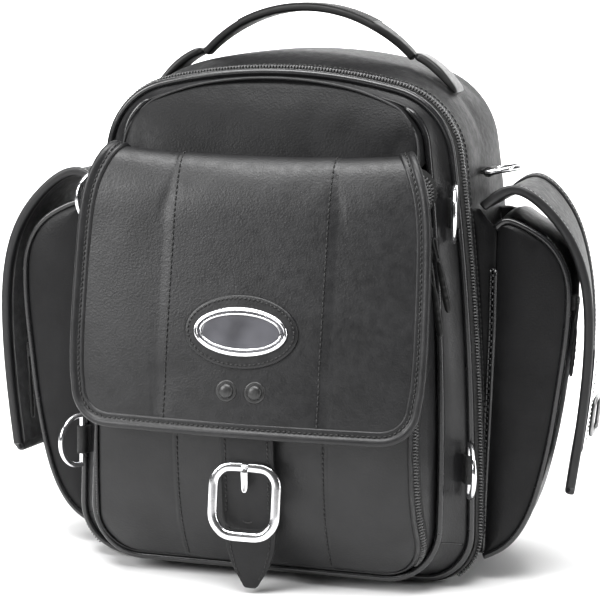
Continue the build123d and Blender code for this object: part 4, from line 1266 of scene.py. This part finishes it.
def side_pocket(m, sign, pads):
    """One side pocket: its padded front panel, piping, zipper, wrap and rear panel."""
    name = "right" if sign > 0 else "left"
    mirror = (sign, 1, 1)          # shapes are written for the right side
    outer = resample(even(side_outline(), 1.0), SIDE_ROWS)
    z_at = np.clip(outer[:, 1], 19.5, 249)
    seam = np.array(SIDE_SEAM)[::-1]
    inner = np.stack([np.interp(z_at, seam[:, 1], seam[:, 0]), z_at], axis=1)
    inner[0] = outer[0] - (0.4, 0.0)
    share = np.concatenate([[0, 0.03], np.linspace(0.09, 0.91, 12), [0.97, 1.0]])[:, None, None]
    flat = inner[None] * (1 - share) + outer[None] * share
    edge_gap = np.minimum(share[..., 0], 1 - share[..., 0]) * np.linalg.norm(outer - inner, axis=1)[None]
    ends = np.minimum(np.arange(SIDE_ROWS), np.arange(SIDE_ROWS)[::-1])[None] * 3.0
    swell = 1 - np.exp(-np.minimum(edge_gap, ends + 0.5) / 9.0)
    grid = upright(flat, SIDE_FRONT_Y - 2.0 - 3.6 * swell) * mirror
    pad = Pad(grid, facing(grid, (0, -1, 0)), rim_pins(grid), 4.0, 3.0, 0.012)
    pads.append(pad)

    def finish():
        slab(name + "_pocket_panel", "bag_body", pad.grid, facing(pad.grid, (0, -1, 0)), 2.2,
             [m["pocket"], m["lining"]], "vinyl")

    trim = Piece()
    trim.sweep(upright(side_outline(0, 1.2), SIDE_FRONT_Y - 2.2) * mirror, (0, 1, 0), circle(2.3, 12))
    ridge = even(np.array([(x, SIDE_FRONT_Y - 2.6, z) for x, z in SIDE_SEAM[1:]]), 4.0)
    for shift, radius in ((0.0, 1.5), (-3.3, 1.1)):
        trim.sweep((ridge + (shift, 0.4 if shift else 0, 0)) * mirror, (0, 1, 0), circle(radius, 10, 0.9))
    for point in even(ridge, 4.2):
        rung = np.array([point, point + (-1.7, -0.1, 0), point + (-3.3, 0.4, 0)])
        trim.sweep(rung * mirror, (0, 0, 1), circle(0.95, 8))
    trim.make(name + "_pocket_piping_bead", "bag_body", m["piping"], "piping")

    body_side = half_sides(arch(BODY_ARCH_MIDDLE, -0.2))[1]
    top = [(137.0, 263.0), (140.5, 258.0), (145.5, 253.0), (150.6, 249.0)]
    z = np.linspace(19, 249, 50)
    outside = np.stack([np.interp(z, seam[:, 1], seam[:, 0]), z], axis=1)
    outside = np.vstack([outside, np.array(top[::-1])[1:]])
    inside = np.stack([np.interp(outside[:, 1], body_side[:, 1], body_side[:, 0]), outside[:, 1]], axis=1)
    inside[:, 0] = np.minimum(inside[:, 0], outside[:, 0] - 0.3)
    share = np.linspace(0, 1, 7)[:, None, None]
    flat = inside[None] * (1 - share) + outside[None] * share
    strip = upright(flat, SIDE_FRONT_Y - 1.0 + 0.8 * np.sin(np.pi * share[..., 0])) * mirror
    margin = Piece()
    margin.sheet(strip, facing(strip, (0, -1, 0)), 2.0)
    back = side_outline(SIDE_TAPER)
    body_x = np.interp(back[:, 1], body_side[:, 1], body_side[:, 0]) - 0.5
    rear = np.array([[(bx + (x - bx) * t, SIDE_FRONT_Y + SIDE_DEPTH - 0.5 + 2.0 * math.sin(math.pi * t), z)
                      for x, z, bx in zip(back[:, 0], back[:, 1], body_x)] for t in np.linspace(0, 1, 9)])
    rear = rear * mirror
    margin.sheet(rear, facing(rear, (0, 1, 0)), 2.0)
    margin.make(name + "_pocket_margin", "bag_body", m["pocket"], "vinyl", level=1)

    ys = np.concatenate([[SIDE_FRONT_Y - 1.6, SIDE_FRONT_Y + 0.5, SIDE_FRONT_Y + 2.6],
                         np.linspace(SIDE_FRONT_Y + 8.5, SIDE_FRONT_Y + SIDE_DEPTH, 16)])
    drop = np.interp(ys, [ys[0], ys[1], ys[2], ys[3], ys[-1]], [0.9, 0.3, 0.4, 0.2, 0.0])
    front = side_outline()
    rows = []
    for y, d in zip(ys, drop):
        t = (y - SIDE_FRONT_Y) / SIDE_DEPTH
        puff = 5.5 * math.sin(math.pi * min(max((y - ys[3]) / (ys[-1] - ys[3]), 0), 1)) ** 0.6
        line = front * (1 - t) + back * t
        rows.append(upright(line + left_of(line) * (puff - d), y))
    grid = np.stack(rows, axis=1)[::2] * mirror
    slab(name + "_pocket_wrap", "bag_body", grid, facing(grid, (sign, 0, 0.3)), 2.2,
         [m["pocket"], m["lining"]], "vinyl")

    band = Piece()
    path = upright(side_outline(0, 0.6)[20:128], SIDE_FRONT_Y + 6.0)
    up = upright(left_of(path[:, (0, 2)]), 0.0) * mirror
    path = path * mirror
    if np.sum(up[:, 0]) * sign < 0:
        up = -up
    band.sweep(path, up, rounded_box(4.6, -0.9, 0.4, 0.3))
    coil(band, path + up * 0.5, up, 2.3, 1.9, 0.5)
    band.make(name + "_pocket_zipper_teeth", "bag_body", [m["tape"], m["coil"]], "zipper")
    return finish


# ---- side lids -------------------------------------------------------------------------------------------
SIDE_LID_LINE = [(138.5, 265.6), (160.0, 279.2), (187.6, 264.8), (211.3, 229.3), (219.1, 165.0), (209.5, 66.5)]
SIDE_LID_FRONT_Y = -55.0
SIDE_LID_DEPTH = 112.0
SIDE_LID_TAPER = 14.0
SIDE_LID_OUTSIDE = 3           # the first point of the line that lies outside the pocket
SIDE_LID_COUNT = 84            # points along the lid's section


def side_lid_line(y):
    """The section of a side lid's outer face at y. Towards its rear edge it lies nearer the body."""
    taper = SIDE_LID_TAPER * (y - SIDE_LID_FRONT_Y) / SIDE_LID_DEPTH
    points = []
    for k, (x, z) in enumerate(SIDE_LID_LINE):
        share = 1.0 if k >= SIDE_LID_OUTSIDE else 0.5 if k == SIDE_LID_OUTSIDE - 1 else 0.0
        points.append((x - taper * share, z))
    return curve(points, SIDE_LID_COUNT)


def side_lid(m, sign):
    """One side lid: a padded cover over the pocket, bound round its free edges, with a strap. Its buckle is the CAD
    node's own.
    """
    name = "right" if sign > 0 else "left"
    mirror = (sign, 1, 1)
    inset = BINDING / 2 - 1.5
    ys = np.linspace(SIDE_LID_FRONT_Y + inset, SIDE_LID_FRONT_Y + SIDE_LID_DEPTH - inset, 25)
    rows = np.array([side_lid_line(y) for y in ys])
    grid = upright(rows, ys[:, None]) * mirror
    normals = facing(grid, (sign, 0, 0.6))
    length = np.linspace(0, 1, SIDE_LID_COUNT)[None]
    edge = np.minimum(ys - ys[0], ys[-1] - ys)[:, None] - 6.0
    low = (1 - length) * 330 - 9.0
    puff = (1 - np.exp(-np.clip(np.minimum(edge, low), 0, None) / 9.0)) * smoothstep(length, 0.02, 0.2)
    shaped = grid - normals * (1.4 * (1 - puff))[..., None]
    roots = ["side_lid_roots"] if sign > 0 else []
    parts = [slab(name + "_lid_panel", "", shaped, normals, 3.8, [m["body"], m["lining"]], "vinyl",
                  [name + "_lid"] + roots)]
    edge_line, ups = (np.vstack([a[0], a[1:-1, -1], a[-1, ::-1]]) for a in (grid, normals))
    line, ups = even_pair(edge_line, ups, 3.0)
    along = tangents(line)
    side = unit(np.cross(along, ups))
    if np.sum(side * (line - line.mean(0))) < 0:
        side = -side
    flipped = np.sum(np.cross(along, ups) * side) < 0
    section = np.array([(5.0, -0.9), (4.8, 0.5), (3.8, 1.3), (2.2, 1.45), (-0.4, 0.95), (-2.0, 0.55), (-3.6, 1.0),
                        (-5.0, 0.5), (-5.3, -0.8), (-5.0, -4.4), (-2.0, -5.4), (2.0, -5.6), (4.2, -4.9),
                        (5.0, -3.0)])
    section = section * ((-1, 1) if flipped else (1, 1))
    band = Piece()
    band.sweep(line - side * 3.4, ups, section)
    parts.append(band.make(name + "_lid_binding_band", "", m["binding"], "binding", [name + "_lid_binding"], 1))
    thread = Piece()
    stitches(thread, line - side * 5.4 + ups * 0.7, ups, 3.6, 0.42)
    parts.append(thread.make(name + "_lid_stitches", "", m["thread"], "strap"))
    for obj in parts:
        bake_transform(obj)

    strap = Piece()
    thread = Piece()
    path = side_lid_line(0.0)
    path = even(path[(path[:, 1] < 164) & (path[:, 1] > 86) & (path[:, 0] > 190)], 2.0)
    line = upright(path + (1.2, 0), 0.0) * mirror
    out = (sign, 0.125, 0.05)
    strap.sweep(line, out, rounded_box(11.0, -1.3, 1.1, 0.8))
    strap.make(name + "_lid_strap_leather", name + "_lid", m["strap"], "strap", [name + "_lid_strap"], 1)
    for shift in (-8.6, 8.6):
        stitches(thread, line[2:-2] + np.array((sign * 1.25, shift, 0)), out, 3.2, 0.4)
    thread.make(name + "_lid_strap_stitches", name + "_lid", m["thread"], "strap")


# ---- webbing loops, handle, sliders and pulls ------------------------------------------------------------
RING_PLACES = [(127.4, -84.6, 263.0), (142.6, -84.6, 86.5)]
SIDE_RING_PLACE = (135.6, 0.0, 285.0)


def ring_loops(m):
    """Folded webbing round each D-ring's bar, with its two ends side by side."""
    front, sides = Piece(), Piece()
    turns = [(3.1 * math.cos(a), 3.1 * math.sin(a)) for a in np.linspace(-2.45, 2.45, 24)]
    webbing = rounded_box(10.0, -0.55, 0.55, 0.4)
    for x, y, z in RING_PLACES:
        for sign in (-1, 1):
            tab = np.array([-1.0, 1.0, 0]) / math.sqrt(2)
            across = np.array([1.0, 1.0, 0]) / math.sqrt(2)
            head = [across * b - tab * a for a, b in turns]
            line = np.array([tab * 6.6 + across * -0.95] + head + [tab * 6.6 + across * 0.95])
            line = curve(line + (x, y, z), 60) * (sign, 1, 1)
            front.sweep(line, np.cross((0, 0, 1.0), tangents(line)), webbing)
    front.make("front_ring_webbing", "front_door", m["webbing"], "webbing", ["front_ring_loops"])
    x, y, z = SIDE_RING_PLACE
    for sign in (-1, 1):
        line = [(-7.2, -1.0)] + turns + [(-7.2, 1.0)]
        line = curve([(x + px, y, z + pz) for px, pz in line], 60) * (sign, 1, 1)
        sides.sweep(line, np.cross((0, 1.0, 0), tangents(line)), webbing)
    sides.make("side_ring_webbing", "bag_body", m["webbing"], "webbing", ["side_ring_loops"])


HANDLE_LINE = [(-78.0, 363.6), (0.0, 398.0), (78.0, 363.6)]
HANDLE_HALF = 14.0
HANDLE_MIDDLE_Z = 295.0     # the middle of the circle that the grip follows, and its radius
HANDLE_RADIUS = 103.0


def handle_point(turn, y, lift):
    """A point over the grip, turned by some radians to the right of its top."""
    r = HANDLE_RADIUS + lift
    return np.array([r * math.sin(turn), y, HANDLE_MIDDLE_Z + r * math.cos(turn)])


def handle(m):
    """A moulded handle: a ribbed grip on a curved band, with glossy tapered ends sewn to the roof."""
    line = arc3(*HANDLE_LINE, 121)
    path = upright(line, 0.0)
    half = np.interp(np.abs(path[:, 0]), [0, 50, 70, 78], [HANDLE_HALF, HANDLE_HALF, 8.0, 6.5])
    up = unit(path - (0, 0, HANDLE_MIDDLE_Z))
    base = np.array([(1.0, -0.6), (1.0, 0.5), (0.90, 1.0), (0.6, 1.0), (0.3, 1.0), (0, 1.0), (-0.3, 1.0), (-0.6, 1.0),
                     (-0.90, 1.0), (-1.0, 0.5), (-1.0, -0.6), (-0.9, -1.0), (-0.5, -1.0), (0, -1.0), (0.5, -1.0),
                     (0.9, -1.0)])
    section = base[None] * np.stack([half, np.full(len(half), 2.8)], axis=1)[:, None]
    band = Piece()
    band.sweep(path, up, section)
    band.make("handle_band", "handle", m["rubber"], "rubber", ["handle"], 1)
    grip = Piece()
    for t in np.linspace(-0.47, 0.47, 53):
        rise = np.array([math.sin(t), 0, math.cos(t)])
        rib = [handle_point(t, y, 2.75 + 0.25 * math.cos(y / 10.4 * 1.4)) for y in np.linspace(-10.4, 10.4, 14)]
        grip.sweep(np.array(rib), rise, circle(0.62, 8))
    for side in (-1, 1):
        rail = [handle_point(t, side * 12.2, 2.7) for t in np.linspace(0.5, -0.5, 60)]
        grip.sweep(np.array(rail), (0, 0, 1), circle(0.8, 8))
    grip.make("handle_ribs", "handle", m["rubber"], "rubber")

    caps = Piece()
    for sign in (-1, 1):
        line = curve([(80.0, 365.6), (86.0, 363.0), (95.0, 357.0), (104.0, 348.6), (111.5, 340.0)], 34)
        path = upright(line * (sign, 1), 0.0)
        share = np.linspace(0, 1, len(path))
        half = np.interp(share, [0, 0.06, 0.5, 0.9, 0.97, 1.0], [8.0, 10.5, 12.6, 14.0, 13.4, 12.0])
        thick = np.interp(share, [0, 0.08, 0.5, 0.92, 1.0], [2.0, 3.0, 3.2, 2.2, 1.0])
        section = base[None] * np.stack([half, thick], axis=1)[:, None]
        caps.sweep(path, (sign * 0.55, 0, 0.8), section)
    caps.make("handle_end_caps", "bag_body", m["gloss_rubber"], "rubber", ["handle_anchors"], 1)


# Each pull's name, its eye, its lean in degrees and the axis that it is thinnest along
PULLS = [("front_upper", (120.4, -113.2, 247.6), 13.0, "y"), ("front_lower", (119.4, -119.6, 232.4), 10.0, "y"),
         ("main", (-144.2, -66.6, 233.0), -4.0, "y"), ("right_pocket", (207.1, -41.0, 197.0), -4.0, "x"),
         ("left_pocket", (-203.1, -41.0, 139.0), 4.0, "x")]


def pulls(m):
    """A loop of cord through each slider's eye, and a ribbed rubber grip."""
    for name, eye, lean, flat in PULLS:
        low = np.array(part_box(name + "_pull")[0]) / MM
        eye = np.array(eye)
        down = np.array([math.sin(math.radians(lean)), 0, -math.cos(math.radians(lean))])
        length = (low[2] - eye[2]) / down[2] - 1.0
        face = np.array([0, -1.0, 0]) if flat == "y" else np.array([math.copysign(1, eye[0]), 0, 0])
        side = unit(np.cross(down, face))
        cord = Piece()
        legs = [(15.5, 0.75), (9, 0.9), (3, 1.0)]
        turn = [(-math.cos(a), math.sin(a)) for a in np.linspace(-1.5, 1.5, 9)]
        loop = [(d, -s) for d, s in legs] + turn + legs[::-1]
        cord.sweep(curve([eye + down * d + side * s for d, s in loop], 50), face, circle(0.75, 8))
        cord.make(name + "_pull_cord", name + "_pull", m["webbing"], "webbing", [name + "_pull"])
        grip = Piece()
        share = np.linspace(0, 1, 34)
        along = 14.5 + (length - 14.5) * share
        half = np.interp(share, [0, 0.06, 0.2, 0.8, 0.95, 1.0], [1.0, 1.6, 2.3, 2.7, 2.3, 1.3])
        thick = np.interp(share, [0, 0.08, 0.5, 0.95, 1.0], [0.9, 1.3, 1.55, 1.3, 0.8])
        ribs = 0.30 * (np.sin(share * 2 * math.pi * 7) > 0) * (share > 0.25) * (share < 0.85)
        section = circle(1.0, 14)[None] * np.stack([half, thick + ribs], axis=1)[:, None]
        grip.sweep(eye + down * along[:, None], face, section)
        grip.make(name + "_pull_grip", name + "_pull", m["gloss_rubber"], "rubber")


def front_hinge(m):
    """The sewn strip under the front edge, on which the front door folds down."""
    strip = Piece()
    line = curve([(-55.0, 2.9), (-63.0, 2.4), (-69.0, 2.8), (-74.0, 4.4)], 14)
    x = np.linspace(-104, 104, 27)
    grid = np.array([[(a, y, z) for y, z in line] for a in x])
    strip.sheet(grid, facing(grid, (0, 0, -1)), 0.9)
    obj = strip.make("door_hinge_strip", "", m["lining"], "lining")
    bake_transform(obj)


# CAD nodes that hold both sides' pieces: one new piece stands for each
SIDE_NODES = {"right_pocket_panel": ["side_pocket_ends"], "right_pocket_piping_bead": ["side_pocket_pipings"],
              "right_pocket_wrap": ["side_pocket_wraps"], "right_pocket_zipper_teeth": ["side_pocket_zippers"]}


def build(m):
    pads = []
    pocket = Pocket()
    later = [main_compartment(m, pads)]
    main_zipper(m)
    front_hinge(m)
    lining_of_door(m)
    back_of_bag(m)
    door_frame(m, pocket)
    pocket_walls(m, pocket)
    later.append(pocket_panels(m, pocket, pads))
    later.append(front_lid(m, pads))
    later += [side_pocket(m, sign, pads) for sign in (1, -1)]
    inflate(pads)
    for finish in later:
        finish()
    closure(m)
    buckle(m)
    for sign in (1, -1):
        side_lid(m, sign)
    for name, nodes in SIDE_NODES.items():
        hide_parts(*nodes)
    ring_loops(m)
    handle(m)
    pulls(m)


# ---- carried-over CAD nodes, camera, light and floor -----------------------------------------------------
def finish_cad_nodes(m):
    """Gives each CAD node the finish that its record slot stands for, as some of the nodes are still shown."""
    finishes = {"vinyl": "vinyl", "binding": "binding", "piping": "piping", "lining": "lining", "board": "board",
                "zipper": "coil", "strap": "strap", "chrome": "chrome", "emblem_field": "enamel",
                "black_metal": "black_metal", "webbing": "webbing", "rubber": "rubber"}
    slots = {row["node"]: row["material_slot"] for row in frame["record"]["subparts"]}
    for name, obj in frame["nodes"].items():
        finish = "steel" if name.endswith("_lid_buckle") else finishes[slots[name]]
        for k in range(max(1, len(obj.data.materials))):
            if k < len(obj.data.materials):
                obj.data.materials[k] = m[finish]
            else:
                obj.data.materials.append(m[finish])


def make_camera():
    camera = bpy.data.objects.new("camera", bpy.data.cameras.new("camera"))
    bpy.context.scene.collection.objects.link(camera)
    place, aim = Vector(CAMERA_PLACE) * MM, Vector(CAMERA_AIM) * MM
    turn = (aim - place).to_track_quat("-Z", "Y").to_matrix().to_4x4()
    camera.matrix_world = Matrix.Translation(place) @ turn @ Matrix.Rotation(math.radians(CAMERA_ROLL), 4, "Z")
    camera.data.lens, camera.data.sensor_width = CAMERA_LENS, 36.0
    camera.data.clip_start, camera.data.clip_end = 0.05, 50.0
    bpy.context.scene.camera = camera


BAG_MIDDLE = (0.0, 0.0, 0.2)
# Each light's name, place and aim in metres, size in metres and power in watts
LIGHTS = [("key", (-1.15, -1.35, 0.95), BAG_MIDDLE, (0.9, 0.9), 33),
          ("top", (-0.1, -0.9, 1.9), BAG_MIDDLE, (1.7, 0.7), 54),
          ("right", (1.9, -0.3, 0.7), BAG_MIDDLE, (0.35, 1.4), 14),
          ("floor_wash", (0.0, -0.2, 2.9), (0.0, -0.2, 0.0), (3.0, 1.4), 62),
          ("backdrop_wash", (0.0, 0.9, 2.2), (0.0, 3.3, 0.9), (3.0, 1.0), 250)]


def area_light(name, place, aim, size, power):
    data = bpy.data.lights.new(name, "AREA")
    data.shape, data.size, data.size_y = "RECTANGLE", *size
    data.energy = power
    light = bpy.data.objects.new(name, data)
    light.location = place
    light.rotation_euler = (Vector(aim) - Vector(place)).to_track_quat("-Z", "Y").to_euler()
    bpy.context.scene.collection.objects.link(light)


def make_studio():
    """A pale floor that curves up into a backdrop, and soft boxes above, at the left and at the right."""
    f = Finish("studio_paper")
    f.colour(f.noise(90), (0.3, 0.86), (0.7, 0.88)).rough(f.noise(60), (0.3, 0.7), (0.7, 0.8))
    piece = Piece()
    floor = [(-6000, 0), (0, 0), (1800, 0)]
    bend = [(1800 + 1500 * math.sin(a), 1500 - 1500 * math.cos(a)) for a in np.linspace(0.1, math.pi / 2, 14)]
    line = floor + bend + [(3300, 5000)]
    grid = np.array([[(x, y, z - 0.6) for y, z in line] for x in (-7000, 0, 7000)])
    piece.sheet(grid, facing(grid, (0, -0.5, 1)), 20)
    backdrop = piece.make("studio_floor", "", f.bump(f.noise(3), 0.1, 0.1).material, "vinyl")
    world = bpy.data.worlds.new("studio")
    bpy.context.scene.world = world
    world.use_nodes = True
    world.node_tree.nodes["Background"].inputs["Color"].default_value = (1, 1, 1, 1)
    world.node_tree.nodes["Background"].inputs["Strength"].default_value = 0.07
    for light in LIGHTS:
        area_light(*light)
    bpy.context.scene.view_settings.view_transform = "Standard"


make_camera()
make_studio()
materials = make_materials()
build(materials)
finish_cad_nodes(materials)
